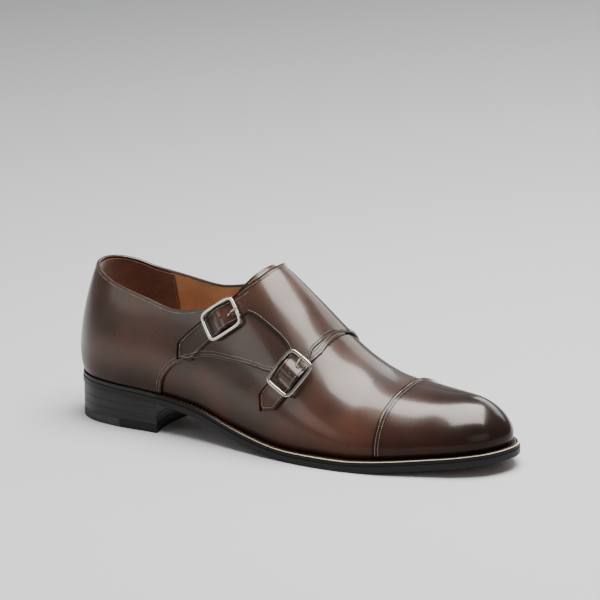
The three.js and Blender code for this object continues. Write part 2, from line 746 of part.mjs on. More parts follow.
let foot = TOP_PIECE + GAP;
add("heel_lift_3", heelLayer(foot, foot + LIFT, 1), COLOUR.heelInk, 0.45);
foot += LIFT + GAP;
add("heel_lift_2", heelLayer(foot, foot + LIFT, 1), COLOUR.heelInk, 0.45);
foot += LIFT + GAP;
add("heel_lift_1", heelLayer(foot, HEEL_HEIGHT, 3), COLOUR.heelInk, 0.45);
const pieces = topPieces();
add("top_piece_leather", pieces.leather, COLOUR.soleLeather, 0.5);
add("top_piece_rubber", pieces.rubber, COLOUR.rubber, 0.8);

// Centred over its own base.
const box = new THREE.Box3().setFromObject(shoe);
const middle = box.getCenter(new THREE.Vector3());
shoe.position.set(-middle.x, -middle.y, -box.min.z);

export default shoe;
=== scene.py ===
# A man's right double monk strap shoe in burnished calf, built as a shoemaker builds it: lining and
# panels pulled over one last, the sole stitched on under them, the heel stacked, the straps buckled.
# Millimetres, from the back of the heel along +x, until a mesh is put in the row frame in metres.
import math

import bpy
import numpy as np
from mathutils import Matrix, Vector
from mathutils.kdtree import KDTree


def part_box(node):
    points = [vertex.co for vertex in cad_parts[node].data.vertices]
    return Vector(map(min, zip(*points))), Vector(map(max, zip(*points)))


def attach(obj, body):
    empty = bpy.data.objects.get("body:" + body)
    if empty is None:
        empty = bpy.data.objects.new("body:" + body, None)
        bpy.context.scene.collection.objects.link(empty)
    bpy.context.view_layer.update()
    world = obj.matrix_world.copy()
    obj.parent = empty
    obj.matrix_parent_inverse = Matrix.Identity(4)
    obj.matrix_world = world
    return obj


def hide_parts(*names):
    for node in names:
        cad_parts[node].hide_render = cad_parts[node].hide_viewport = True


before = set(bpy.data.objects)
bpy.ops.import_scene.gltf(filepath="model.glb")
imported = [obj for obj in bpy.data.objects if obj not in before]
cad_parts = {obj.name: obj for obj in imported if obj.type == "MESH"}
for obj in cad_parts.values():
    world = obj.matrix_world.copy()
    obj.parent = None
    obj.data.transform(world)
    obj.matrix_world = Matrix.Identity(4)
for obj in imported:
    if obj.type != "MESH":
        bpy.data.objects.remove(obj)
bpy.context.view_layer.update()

# ---------------------------------------------------------------- sock
# The sock is thin tan calf, cut to the insole and glued down on it. Its edge goes under the lining.
# Its outline is the outsole's, drawn in by the welt's margin and the wall of the upper.
MM = 0.001
OUTSOLE, WELT, INSOLE, WALL, GAP = 4.0, 2.2, 3.4, 2.2, 0.3  # thicknesses, as in the frame
SOLE_LOW, SOLE_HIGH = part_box("outsole")
LENGTH = (SOLE_HIGH.x - SOLE_LOW.x) / MM
BALL_WIDTH = LENGTH / 3
HEEL_HEIGHT = SOLE_HIGH.z / MM - OUTSOLE
INSTEP_HEIGHT = 88
TOE_TIP = 3.7
OUTER, INNER = -1, 1  # the outer side of a right foot is at -y

# Outsole outline: per cent of the length, and of the ball width to the outer and the inner side.
SOLE_PLAN = [
    (1.5, 15.5, 15), (6, 27, 27.5), (13, 32.3, 32), (23, 33.3, 31), (33, 35.5, 27), (43, 41, 26.5),
    (53, 46.5, 32.5), (62, 49.3, 41), (70, 49, 48), (78, 44.8, 48), (86, 36.3, 41), (93, 27.5, 31),
    (98, 15, 18.5),
]
# Side view: per cent of the length, lift of the sole in per cent of the heel height, ridge of the
# last in per cent of the instep height, y of the ridge, and the welt's margin in millimetres.
SIDE_VIEW = [
    (0, 100, 105, 0, 2), (12, 95, 106, 0, 2), (23, 86, 110, 0, 2.2), (33, 68, 113, 1, 2.6),
    (43, 33, 112, 2, 3.4), (48, 18, 107, 3, 4), (55, 3, 91, 3, 4.6), (61, 0, 72, 4, 5),
    (66, 0, 58, 4, 5.4), (71, 0, 48.5, 4, 5.5), (79, 8, 40, 4, 5.5), (88, 20, 35, 4, 5.5),
    (100, 38, 32, 4, 5.5),
]


def column(rows, value, unit=1.0):
    """A smooth curve through one column of a table, at a place on the table's own scale."""
    table = np.array(rows, float)
    xs, ys = table[:, 0] * unit, table[:, value]
    before = np.maximum(np.arange(len(xs)) - 1, 0)
    after = np.minimum(np.arange(len(xs)) + 1, len(xs) - 1)
    slope = (ys[after] - ys[before]) / (xs[after] - xs[before])

    def at(x):
        x = np.asarray(x, float)
        k = np.clip(np.searchsorted(xs, x, side="right") - 1, 0, len(xs) - 2)
        step = xs[k + 1] - xs[k]
        t = np.clip((x - xs[k]) / step, 0, 1)
        bend = step * t * (1 - t) * (slope[k] * (1 - t) - slope[k + 1] * t)
        return ys[k] + (ys[k + 1] - ys[k]) * t * t * (3 - 2 * t) + bend

    return at


PER_CENT = LENGTH / 100
lift_share, ridge_share, spine, margin = (column(SIDE_VIEW, k, PER_CENT) for k in (1, 2, 3, 4))


def underside(x):
    return np.maximum(lift_share(x), 0) / 100 * HEEL_HEIGHT


def welt_foot(x):
    return underside(x) + OUTSOLE + GAP


def feather(x):
    """Height of the feather line, where the upper turns in over the insole."""
    return welt_foot(x) + WELT + GAP


def ridge(x):
    return ridge_share(x) / 100 * INSTEP_HEIGHT


def smooth_line(points, steps, closed=False):
    """A centripetal Catmull-Rom curve through points, as `steps` places along it."""
    p = np.array(points, float)
    count = len(p) if closed else len(p) - 1
    ends = [2 * p[0] - p[1], 2 * p[-1] - p[-2]]
    u = np.arange(steps) / steps * count if closed else np.linspace(0, count, steps)
    k = np.minimum(u.astype(int), count - 1)
    w = (u - k)[:, None]
    full = np.vstack([p[-1:], p, p[:2]] if closed else [ends[:1], p, ends[1:]])
    p0, p1, p2, p3 = (full[k + j] for j in range(4))
    d0, d1, d2 = (
        np.maximum(np.sum((b - a) ** 2, 1, keepdims=True) ** 0.25, 1e-4)
        for a, b in ((p0, p1), (p1, p2), (p2, p3))
    )
    t1 = ((p1 - p0) / d0 - (p2 - p0) / (d0 + d1) + (p2 - p1) / d1) * d1
    t2 = ((p2 - p1) / d1 - (p3 - p1) / (d1 + d2) + (p3 - p2) / d2) * d1
    bend = (3 * (p2 - p1) - 2 * t1 - t2) * w**2 + (2 * (p1 - p2) + t1 + t2) * w**3
    return p1 + t1 * w + bend


outer_plan = [(at * PER_CENT, -share / 100 * BALL_WIDTH) for at, share, _ in SOLE_PLAN]
inner_plan = [(at * PER_CENT, share / 100 * BALL_WIDTH) for at, _, share in SOLE_PLAN]
PLAN = smooth_line([(0, 0), *outer_plan, (LENGTH, TOE_TIP), *reversed(inner_plan)], 400, closed=True)
PLAN_WAY = np.roll(PLAN, -1, 0) - np.roll(PLAN, 1, 0)
PLAN_WAY /= np.linalg.norm(PLAN_WAY, axis=1, keepdims=True)
ORIGIN = np.array([SOLE_LOW.x / MM - PLAN[:, 0].min(), SOLE_LOW.y / MM - PLAN[:, 1].min(), 0])


def outline(inset):
    """The outsole's outline moved inwards by inset, a number or a function of x."""
    far = inset(PLAN[:, 0]) if callable(inset) else np.full(len(PLAN), float(inset))
    return PLAN + np.stack([-PLAN_WAY[:, 1], PLAN_WAY[:, 0]], 1) * far[:, None]


def reach(loop, x, y, dx, dy):
    """How far it is from points inside a closed outline to its edge, along (dx, dy)."""
    x, y, dx, dy = (np.atleast_1d(np.asarray(v, float))[:, None] for v in (x, y, dx, dy))
    edge = np.roll(loop, -1, 0) - loop
    cross = dx * edge[:, 1] - dy * edge[:, 0]
    cross = np.where(np.abs(cross) < 1e-12, 1e-12, cross)
    ax, ay = loop[:, 0] - x, loop[:, 1] - y
    t = (ax * edge[:, 1] - ay * edge[:, 0]) / cross
    s = (ax * dy - ay * dx) / cross
    return np.where((t > 0) & (s >= 0) & (s <= 1), t, 0).max(1)


# Rays in plan from the ridge out to the edge: station 0 to 1 fans round the heel, 1 to 2 goes
# straight across, and 2 to 3 leans forward into the toe.
HEEL_AT, TOE_AT = 12, 72  # per cent of the length, where the straight stretch starts and ends
HEEL_CENTRE, TOE_START, TOE_END = HEEL_AT * PER_CENT, TOE_AT * PER_CENT, 87 * PER_CENT
TOE_TRAVEL = 0.93
STATIONS = np.linspace(0, 3, 901)


def ray(station):
    s = np.asarray(station, float)
    t = np.clip(s - 2, 0, 1)
    travel = np.minimum(t / TOE_TRAVEL, 1)
    x = HEEL_CENTRE + (TOE_START - HEEL_CENTRE) * np.clip(s - 1, 0, 1)
    x = x + (TOE_END - TOE_START) * (1 - (1 - travel) ** 1.6)
    turn = np.where(s < 1, np.pi - np.pi / 2 * np.clip(s, 0, 1), np.pi / 2 * (1 - t**1.5))
    return x, turn


def edge_reach(loop):
    """The outline's distance from the ridge, as a function of station and side."""
    x, turn = ray(STATIONS)
    far = {s: reach(loop, x, spine(x), np.cos(turn), s * np.sin(turn)) for s in (OUTER, INNER)}

    def at(station, side):
        outer, inner = np.interp(station, STATIONS, far[OUTER]), np.interp(station, STATIONS, far[INNER])
        return np.where(np.asarray(side) < 0, outer, inner)

    return at


def half_round(u):
    """Station and side at a share of the way round: outer side to the toe, then the inner side back."""
    return 3 * (1 - np.abs(2 * u - 1)), np.where(u < 0.5, OUTER, INNER)


def plan_place(reach_of, u, inset, hub_share):
    """A place in plan: round the outline at u, `inset` in from the edge, then `hub_share` to the ridge."""
    station, side = half_round(u)
    x, turn = ray(station)
    far = np.maximum(reach_of(station, side) - inset, 0) * (1 - hub_share)
    return x + far * np.cos(turn), spine(x) + side * far * np.sin(turn)


def sheet(name, columns, rows, place, folded=None, cut=None, rounding=0.0):
    """A piece cut from sheet: a flat grid is thickened by extrusion, laid by place(u, v, w) with w from
    0 under it to 1 on top, and its walls are taken away where `folded` says that it meets itself.
    `cut` says which places lie on a cut edge, and edge_mm keeps the distance to it."""
    bpy.ops.object.select_all(action="DESELECT")
    bpy.ops.mesh.primitive_grid_add(x_subdivisions=columns, y_subdivisions=rows, size=1)
    piece = bpy.context.object
    piece.name = piece.data.name = name
    bpy.ops.object.mode_set(mode="EDIT")
    bpy.ops.mesh.select_all(action="SELECT")
    bpy.ops.mesh.extrude_region_move(TRANSFORM_OT_translate={"value": (0, 0, 1)})
    bpy.ops.object.mode_set(mode="OBJECT")
    mesh = piece.data
    u, v, w = corners_of(mesh).T
    u = np.round((u + 0.5) * columns) / columns
    v = np.round((v + 0.5) * rows) / rows
    places = place(u, v, np.round(w))
    lay(mesh, places)
    if cut is not None:
        store(mesh, "edge_mm", distances(places[cut(u, v) & (w > 0.5)], places))
    if folded is not None:
        remove_walls(mesh, folded(u, v))
    bpy.ops.object.mode_set(mode="EDIT")
    bpy.ops.mesh.select_all(action="SELECT")
    bpy.ops.mesh.remove_doubles(threshold=2e-6)
    bpy.ops.mesh.dissolve_degenerate(threshold=1e-6)
    bpy.ops.mesh.select_all(action="SELECT")
    bpy.ops.mesh.normals_make_consistent(inside=False)
    bpy.ops.object.mode_set(mode="OBJECT")
    if rounding:
        round_edges(piece, rounding)
    bpy.ops.object.shade_smooth_by_angle(angle=math.radians(40))
    return piece


def corners_of(mesh):
    """A mesh's corners as they stand, in its own units."""
    flat = np.zeros(len(mesh.vertices) * 3)
    mesh.vertices.foreach_get("co", flat)
    return flat.reshape(-1, 3)


def lay(mesh, places):
    """Puts a mesh's corners at places on the shoe, in millimetres."""
    mesh.vertices.foreach_set("co", ((places + ORIGIN) * MM).ravel())


def store(mesh, name, values):
    """Keeps a number at each corner of a mesh, for its material to read."""
    mesh.attributes.new(name, "FLOAT", "POINT").data.foreach_set("value", np.asarray(values, np.float32))


def distances(edge, places):
    """How far each place is from the nearest of an edge's points."""
    tree = KDTree(len(edge))
    for k, place in enumerate(edge):
        tree.insert(place, k)
    tree.balance()
    return np.array([tree.find(place)[2] for place in places])


def remove_walls(mesh, flagged):
    """Deletes the faces whose corners are all flagged, such as the wall where a ring closes."""
    for polygon in mesh.polygons:
        polygon.select = all(flagged[k] for k in polygon.vertices)
    bpy.ops.object.mode_set(mode="EDIT")
    bpy.ops.mesh.select_mode(type="FACE")
    bpy.ops.mesh.delete(type="ONLY_FACE")
    bpy.ops.mesh.select_mode(type="VERT")
    bpy.ops.object.mode_set(mode="OBJECT")


def round_edges(piece, width, segments=2, angle=50):
    """A bevel on every sharp edge, in millimetres, applied."""
    bevel = piece.modifiers.new("Rounding", "BEVEL")
    bevel.width = width * MM
    bevel.segments = segments
    bevel.limit_method = "ANGLE"
    bevel.angle_limit = math.radians(angle)
    bpy.context.view_layer.objects.active = piece
    bpy.ops.object.modifier_apply(modifier="Rounding")


def linear(hex_colour):
    """An sRGB hex value as the linear colour that a socket takes."""
    value = hex_colour.lstrip("#")
    parts = [int(value[k : k + 2], 16) / 255 for k in (0, 2, 4)]
    return (*(c / 12.92 if c <= 0.04045 else ((c + 0.055) / 1.055) ** 2.4 for c in parts), 1.0)


def finish_material(name, colour, roughness, **sockets):
    """A new material with one Principled shader. Its even values are set on the shader's own sockets."""
    material = bpy.data.materials.new(name)
    material.use_nodes = True
    shader = material.node_tree.nodes["Principled BSDF"]
    shader.inputs["Base Color"].default_value = linear(colour)
    shader.inputs["Roughness"].default_value = roughness
    for socket, value in sockets.items():
        shader.inputs[socket.replace("_", " ")].default_value = value
    return material


def add_node(material, kind, settings=None, links=None):
    """Adds a node. Settings are its properties, or its inputs by name or number; links feed inputs."""
    tree = material.node_tree
    made = tree.nodes.new(kind)
    for key, value in (settings or {}).items():
        if isinstance(key, str) and hasattr(made, key):
            setattr(made, key, value)
        else:
            made.inputs[key].default_value = value
    for key, source in (links or {}).items():
        tree.links.new(source, made.inputs[key])
    return made


def mixed(material, factor, first, second, blend="MIX"):
    """The colour output of a Mix node; factor, first and second are sockets or hex colours."""
    settings, links = {"data_type": "RGBA", "blend_type": blend}, {}
    for key, value in ((0, factor), (6, first), (7, second)):
        if isinstance(value, bpy.types.NodeSocket):
            links[key] = value
        else:
            settings[key] = linear(value) if isinstance(value, str) else value
    return add_node(material, "ShaderNodeMix", settings, links).outputs[2]


def noise(material, feature_mm, detail=2.0, stretch=(1, 1, 1), roughness=0.5):
    """The factor of a noise pattern on the piece, with features of a real size."""
    place = add_node(material, "ShaderNodeTexCoord").outputs["Object"]
    turned = add_node(material, "ShaderNodeMapping", {"Scale": stretch}, {"Vector": place})
    settings = {"Scale": 1 / (feature_mm * MM), "Detail": detail, "Roughness": roughness}
    return add_node(material, "ShaderNodeTexNoise", settings, {"Vector": turned.outputs[0]}).outputs[0]


def ranged(material, value, low, high, to_low=0.0, to_high=1.0):
    """A Map Range node's output: value from low..high to to_low..to_high, eased and clamped."""
    settings = {"interpolation_type": "SMOOTHSTEP", 1: low, 2: high, 3: to_low, 4: to_high}
    return add_node(material, "ShaderNodeMapRange", settings, {0: value}).outputs[0]


def joined_to(material, socket, source):
    shader = material.node_tree.nodes["Principled BSDF"]
    material.node_tree.links.new(source, shader.inputs[socket])


def bumped(material, height, depth_mm, strength=1.0, before=None):
    """Bump from a height of 0 to 1 over a real depth; several are chained through `before`."""
    links = {"Height": height}
    if before is not None:
        links["Normal"] = before
    settings = {"Strength": strength, "Distance": depth_mm * MM}
    return add_node(material, "ShaderNodeBump", settings, links).outputs[0]


def give(piece, material, replaces=()):
    """Puts the finish on a piece and hands it to the frame."""
    piece.data.materials.clear()
    piece.data.materials.append(material)
    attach(piece, "root")
    if replaces:
        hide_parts(*replaces)


def lining_calf():
    """Vegetable-tanned lining calf, undyed and lightly glazed: warm tan, matt, fine even grain."""
    material = finish_material("Tan_lining_calf", "#b88c6b", 0.55, Specular_IOR_Level=0.4)
    patches = ranged(material, noise(material, 22, 3), 0.35, 0.7)
    tone = mixed(material, patches, "#ab8060", "#c49670")
    joined_to(material, "Base Color", tone)
    grain = noise(material, 0.9, 4)
    joined_to(material, "Normal", bumped(material, grain, 0.12, 0.4))
    return material


TAN = lining_calf()
sock_reach = edge_reach(outline(lambda x: margin(x) + WALL + 0.5))
SOCK = 0.8


def sock_place(u, v, w):
    x, y = plan_place(sock_reach, u, 0, v)
    return np.stack([x, y, welt_foot(x) + INSOLE + 0.03 + SOCK * w], 1)


def ring_folded(u, v):
    """Where a plate meets itself: at the back of the heel and along the ridge."""
    return np.isin(u, (0, 1)) | (v == 1)


sock = sheet("sock", 120, 8, sock_place, folded=ring_folded, rounding=0.25)
give(sock, TAN)

# The insole under it is 3.4 mm oak-bark leather and keeps its own solid.
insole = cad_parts["insole"]
insole.data.materials.clear()
insole.data.materials.append(TAN)

# ---------------------------------------------------------------- quarter lining
# Tan lining calf, pulled over the last first, from the heel grip's edge forward to the toe.
# The last: an elliptical section at each station, a little squarer, that swells over the feather.
FULLNESS, SWELL, SWELL_HEIGHT = 2.1, 2.6, 20
TOP_LINE = [  # per cent of the length, height over the floor on the outer and the inner side
    (0, 100, 100.5), (4, 97, 97), (12, 90, 90), (20, 84, 86), (28, 79, 83.5), (35, 82.5, 87),
    (41, 89.5, 91), (45, 98.5, 98.5), (47.5, 107, 107),
]
THROAT = 47.5  # per cent of the length: the ridge is closed from here
COLLAR_LEAN = 30
last_reach = edge_reach(outline(margin))
top_line = {OUTER: column(TOP_LINE, 1, PER_CENT), INNER: column(TOP_LINE, 2, PER_CENT)}


def lasted(station, side, up, out):
    """The last at a station, `up` degrees from the feather line to the ridge, grown by `out`."""
    x, turn = ray(station)
    rise, wide = np.sin(np.radians(up)), np.maximum(np.cos(np.radians(up)), 0) ** (2 / FULLNESS)
    height = (ridge(x) + out) * rise
    peak = np.minimum(SWELL_HEIGHT, ridge(x) * 0.3)
    swell = SWELL * (height / peak) * np.exp(1 - height / peak)
    far = (last_reach(station, side) + out + swell) * wide
    px, py = x + far * np.cos(turn), spine(x) + side * far * np.sin(turn)
    return np.stack(np.broadcast_arrays(px, py, feather(px) + height), -1)


# Every panel is laid out in two coordinates: `at`, per cent of the length along the ridge (0 to 12
# goes round the heel and 72 to 100 round the toe), and `across`, degrees over the ridge, from -90 on
# the outer feather line to 90 on the inner.
def station_of(at):
    at = np.asarray(at, float)
    middle = 1 + (at - HEEL_AT) / (TOE_AT - HEEL_AT)
    toe = 2 + (at - TOE_AT) / (100 - TOE_AT)
    return np.where(at < HEEL_AT, at / HEEL_AT, np.where(at < TOE_AT, middle, toe))


def on_last(at, across, out):
    side = np.where(np.asarray(across) < 0, OUTER, INNER)
    return lasted(station_of(at), side, 90 - np.abs(across), out)


def collar_heights(side):
    at = np.linspace(0, THROAT, 191)
    x, turn = ray(station_of(at))
    along = np.where(turn > np.pi / 2, x + COLLAR_LEAN * np.cos(turn), x)
    share = (top_line[side](along) - feather(along)) / ridge(x)
    up = np.degrees(np.arcsin(np.minimum(share, 0.999)))
    up[-1] = 90
    return lambda at_: np.interp(at_, at, up)


collar_up = {OUTER: collar_heights(OUTER), INNER: collar_heights(INNER)}


def collar(at, side):
    """Degrees up to the top line, or to the ridge where the upper is closed."""
    return np.where(np.asarray(side) < 0, collar_up[OUTER](at), collar_up[INNER](at))


LINING_BACK = 15.5  # per cent of the length, where the heel grip's seam is
LINING_LAYER = (-1.62, -0.85)  # out from the last, under and on top


def round_toe(start, u):
    """`at` at a share of the way from `start` on the outer side round the toe to it on the inner."""
    return start + (100 - start) * (1 - np.abs(2 * u - 1))


def lining_place(u, v, w):
    at = round_toe(LINING_BACK, u)
    side = np.where(u < 0.5, OUTER, INNER)
    return on_last(at, side * (90 - collar(at, side) * v), np.interp(w, (0, 1), LINING_LAYER))


def lining_folded(u, v):
    return (v == 1) & (round_toe(LINING_BACK, u) > THROAT - 0.01)


quarter_lining = sheet("quarter_lining", 220, 30, lining_place, folded=lining_folded)
give(quarter_lining, TAN, ["upper"])


# ---------------------------------------------------------------- heel grip
# The back of the lining is a separate piece with its suede side out, so that the heel does not
# slip. It laps the quarter lining and is sewn to it down a straight seam.
def suede():
    """Calf with its flesh side out: dark brown nap, with lighter strokes where it was brushed."""
    material = finish_material("Suede_heel_grip", "#5a3320", 0.95, Specular_IOR_Level=0.15, Sheen_Weight=0.5)
    strokes = ranged(material, noise(material, 14, 4, (1, 1, 2.2), 0.55), 0.2, 0.85)
    joined_to(material, "Base Color", mixed(material, strokes, "#54301f", "#6a3f29"))
    nap = noise(material, 0.8, 5)
    joined_to(material, "Normal", bumped(material, nap, 0.3, 0.8))
    return material


GRIP_LAYER = (-2.2, -1.66)
GRIP_LAP = 0.9  # per cent of the length that it laps the quarter lining


def grip_place(u, v, w):
    at = (LINING_BACK + GRIP_LAP) * np.abs(2 * u - 1)
    side = np.where(u < 0.5, OUTER, INNER)
    return on_last(at, side * (90 - collar(at, side) * v), np.interp(w, (0, 1), GRIP_LAYER))


heel_grip = sheet("heel_grip", 90, 30, grip_place)
give(heel_grip, suede())


# ---------------------------------------------------------------- thread
# Waxed linen-cotton thread in lockstitch, about 1.5 mm a stitch. A stitch is modelled once, as a
# short bar with rounded ends, and set along each seam; the stitches of a seam are one piece.
STITCH_LENGTH, STITCH_WIDE, STITCH_HIGH = 1.15, 0.46, 0.36
MIDDLE_HEIGHT = 25  # over the floor: normals point away from a line inside the shoe


def stitch_model():
    bpy.ops.object.select_all(action="DESELECT")
    bpy.ops.mesh.primitive_cylinder_add(vertices=6, radius=0.5, depth=1, rotation=(0, math.pi / 2, 0))
    bpy.ops.object.transform_apply(location=True, rotation=True, scale=True)
    bpy.ops.object.mode_set(mode="EDIT")
    bpy.ops.mesh.select_all(action="SELECT")
    bpy.ops.mesh.bevel(offset=0.18, segments=1, affect="EDGES", clamp_overlap=True)
    bpy.ops.object.mode_set(mode="OBJECT")
    model = bpy.context.object
    corners = np.array([v.co for v in model.data.vertices])
    faces = [list(p.vertices) for p in model.data.polygons]
    bpy.data.objects.remove(model)
    return corners, faces


STITCH_CORNERS, STITCH_FACES = stitch_model()


def partials(place, a, b, step=0.03):
    """How a place moves for a step in each of its two coordinates, in millimetres."""
    to_a = (place(a + step, b) - place(a - step, b)) / (2 * step)
    to_b = (place(a, b + step) - place(a, b - step)) / (2 * step)
    return to_a, to_b


def unit(vectors):
    return vectors / np.linalg.norm(vectors, axis=-1, keepdims=True)


def outwards(place, a, b):
    """The unit normal of a surface, away from the middle of the shoe."""
    normal = unit(np.cross(*partials(place, a, b)))
    spots = place(a, b)
    x = spots[:, 0]
    middle = np.stack([np.clip(x, HEEL_CENTRE, TOE_END), spine(x), np.full(len(x), MIDDLE_HEIGHT)], 1)
    return normal * np.sign(np.sum(normal * (spots - middle), 1))[:, None]


def in_coordinates(move, to_a, to_b):
    """A small move on a surface, as changes of its two coordinates."""
    aa, ab, bb = (np.sum(p * q, 1) for p, q in ((to_a, to_a), (to_a, to_b), (to_b, to_b)))
    la, lb = np.sum(move * to_a, 1), np.sum(move * to_b, 1)
    det = aa * bb - ab * ab
    return np.stack([(la * bb - lb * ab) / det, (lb * aa - la * ab) / det], 1)


def run_of(spots):
    """The length of a line up to each of its points."""
    return np.concatenate([[0], np.cumsum(np.linalg.norm(np.diff(spots, axis=0), axis=1))])


def select_only(piece):
    bpy.ops.object.select_all(action="DESELECT")
    piece.select_set(True)
    bpy.context.view_layer.objects.active = piece


def moved_in(place, line, distance):
    """A line (a, b) on a surface, moved to its left by a distance; to its right if that is negative."""
    line = np.array(line, float)
    steps = max(1, round(abs(distance)))
    for _ in range(steps):
        a, b = line.T
        spots = place(a, b)
        way = unit(np.gradient(spots, axis=0))
        left = np.cross(outwards(place, a, b), way) * distance / steps
        line = line + in_coordinates(left, *partials(place, a, b))
    return line


def seam(name, rows, material, pitch=1.5, size=(STITCH_LENGTH, STITCH_WIDE, STITCH_HIGH)):
    """Sets stitches along rows. A row is (place, line): a surface, and a line of its coordinates."""
    corners, faces, count = [], [], 0
    for place, line in rows:
        line = np.array(line, float)
        spots = place(*line.T)
        run = run_of(spots)
        holes = np.arange(0.6 * pitch, run[-1] - 0.4 * pitch, pitch)
        a, b = np.interp(holes, run, line[:, 0]), np.interp(holes, run, line[:, 1])
        middle = place(a, b)
        along = unit(np.stack([np.interp(holes, run, np.gradient(spots[:, k], run)) for k in range(3)], 1))
        normal = outwards(place, a, b)
        beside = unit(np.cross(normal, along))
        shape = STITCH_CORNERS * np.array(size)
        laid = middle[:, None] + (
            shape[None, :, 0:1] * along[:, None]
            + shape[None, :, 1:2] * beside[:, None]
            + shape[None, :, 2:3] * normal[:, None]
        )
        corners.append(laid.reshape(-1, 3))
        for k in range(len(holes)):
            faces.extend([c + count + k * len(shape) for c in face] for face in STITCH_FACES)
        count += len(holes) * len(shape)
    mesh = bpy.data.meshes.new(name)
    mesh.from_pydata((np.concatenate(corners) + ORIGIN) * MM, [], faces)
    piece = bpy.data.objects.new(name, mesh)
    bpy.context.scene.collection.objects.link(piece)
    select_only(piece)
    bpy.ops.object.mode_set(mode="EDIT")
    bpy.ops.mesh.select_all(action="SELECT")
    bpy.ops.mesh.normals_make_consistent(inside=False)
    bpy.ops.object.mode_set(mode="OBJECT")
    bpy.ops.object.shade_smooth_by_angle(angle=math.radians(60))
    give(piece, material)


def waxed_thread(name, colour):
    """Linen thread drawn through wax: a dull sheen and a fine twist."""
    material = finish_material(name, colour, 0.5, Specular_IOR_Level=0.4)
    worn = ranged(material, noise(material, 3, 2), 0.3, 0.7)
    tone = mixed(material, 1.0, mixed(material, worn, "#b8b8b8", "#ffffff"), colour, "MULTIPLY")
    joined_to(material, "Base Color", tone)
    return material


BROWN_THREAD = waxed_thread("Waxed_thread_brown", "#8a7767")
TAN_THREAD = waxed_thread("Waxed_thread_tan", "#b98552")


def surface(out):
    """The last at one distance out, as a function of at and across."""
    return lambda at, across: on_last(at, across, out)


def upright(at, side, low, high, steps=40):
    """A line straight up a side, from `low` to `high` as shares of the way to the top line."""
    share = np.linspace(low, high, steps)
    return np.stack([np.full(steps, at), side * (90 - collar(at, side) * share)], 1)


on_grip = surface(GRIP_LAYER[0] - 0.02)
grip_rows = [(on_grip, upright(LINING_BACK + GRIP_LAP / 2, side, 0.03, 0.97)) for side in (OUTER, INNER)]
seam("heel_grip_stitches", grip_rows, TAN_THREAD)


# ---------------------------------------------------------------- vamp
# The front of the upper, cut from burnished calf in one piece. Its back edge goes under the
# quarters, and its toe end under the cap. Each panel's upper face is the grain side.
QUARTER_EDGE = [  # degrees up from the feather line, and per cent of the length
    (0, 24.7), (6.8, 25.8), (12.8, 28.5), (17.8, 33.3), (21.3, 37.3), (24.7, 44), (27.1, 48.5),
    (29.5, 52), (38, 57), (50, 59.8), (62, 61), (75, 61.8), (90, 62.2),
]
UNDERLAP = 2.3  # per cent of the length that the vamp goes under the quarters
VAMP_LAYER = (-0.8, 0.0)
SEAM_ROWS = (1.5, 3.4)  # in from a cut edge: its row of stitches, and the second where there is one
NO_EDGE = 99  # millimetres, where a piece has no cut edge
quarter_edge_at = column(QUARTER_EDGE, 1)


def keep_burnish(piece):
    """Stores how dark each place was burnished: at the toe, the heel, over the welt and along seams;
    and how far it is over the welt."""
    mesh = piece.data
    spots = corners_of(mesh) / MM - ORIGIN
    edge = np.full(len(mesh.vertices), NO_EDGE, np.float32)
    if "edge_mm" in mesh.attributes:
        mesh.attributes["edge_mm"].data.foreach_get("value", edge)
    along, height = spots[:, 0] / LENGTH, spots[:, 2] - feather(spots[:, 0])
    toe = 0.85 * np.clip((along - 0.7) / 0.25, 0, 1) ** 1.2
    heel = 0.35 * np.clip((0.1 - along) / 0.1, 0, 1)
    low = 0.75 * np.exp(-np.maximum(height, 0) / 5)
    seams = 0.5 * np.exp(-edge / 3.5)
    dark = 1 - (1 - toe) * (1 - heel) * (1 - low) * (1 - seams)
    store(mesh, "burnish", dark)
    store(mesh, "over_welt_mm", height)


def stored(material, name):
    """What `store` kept on the piece under a name."""
    return add_node(material, "ShaderNodeAttribute", {"attribute_name": name}).outputs["Fac"]


def calculated(material, operation, *values):
    """A Math node's output; each value is a socket or a number."""
    settings, links = {"operation": operation}, {}
    for key, value in enumerate(values):
        (links if isinstance(value, bpy.types.NodeSocket) else settings)[key] = value
    return add_node(material, "ShaderNodeMath", settings, links).outputs[0]


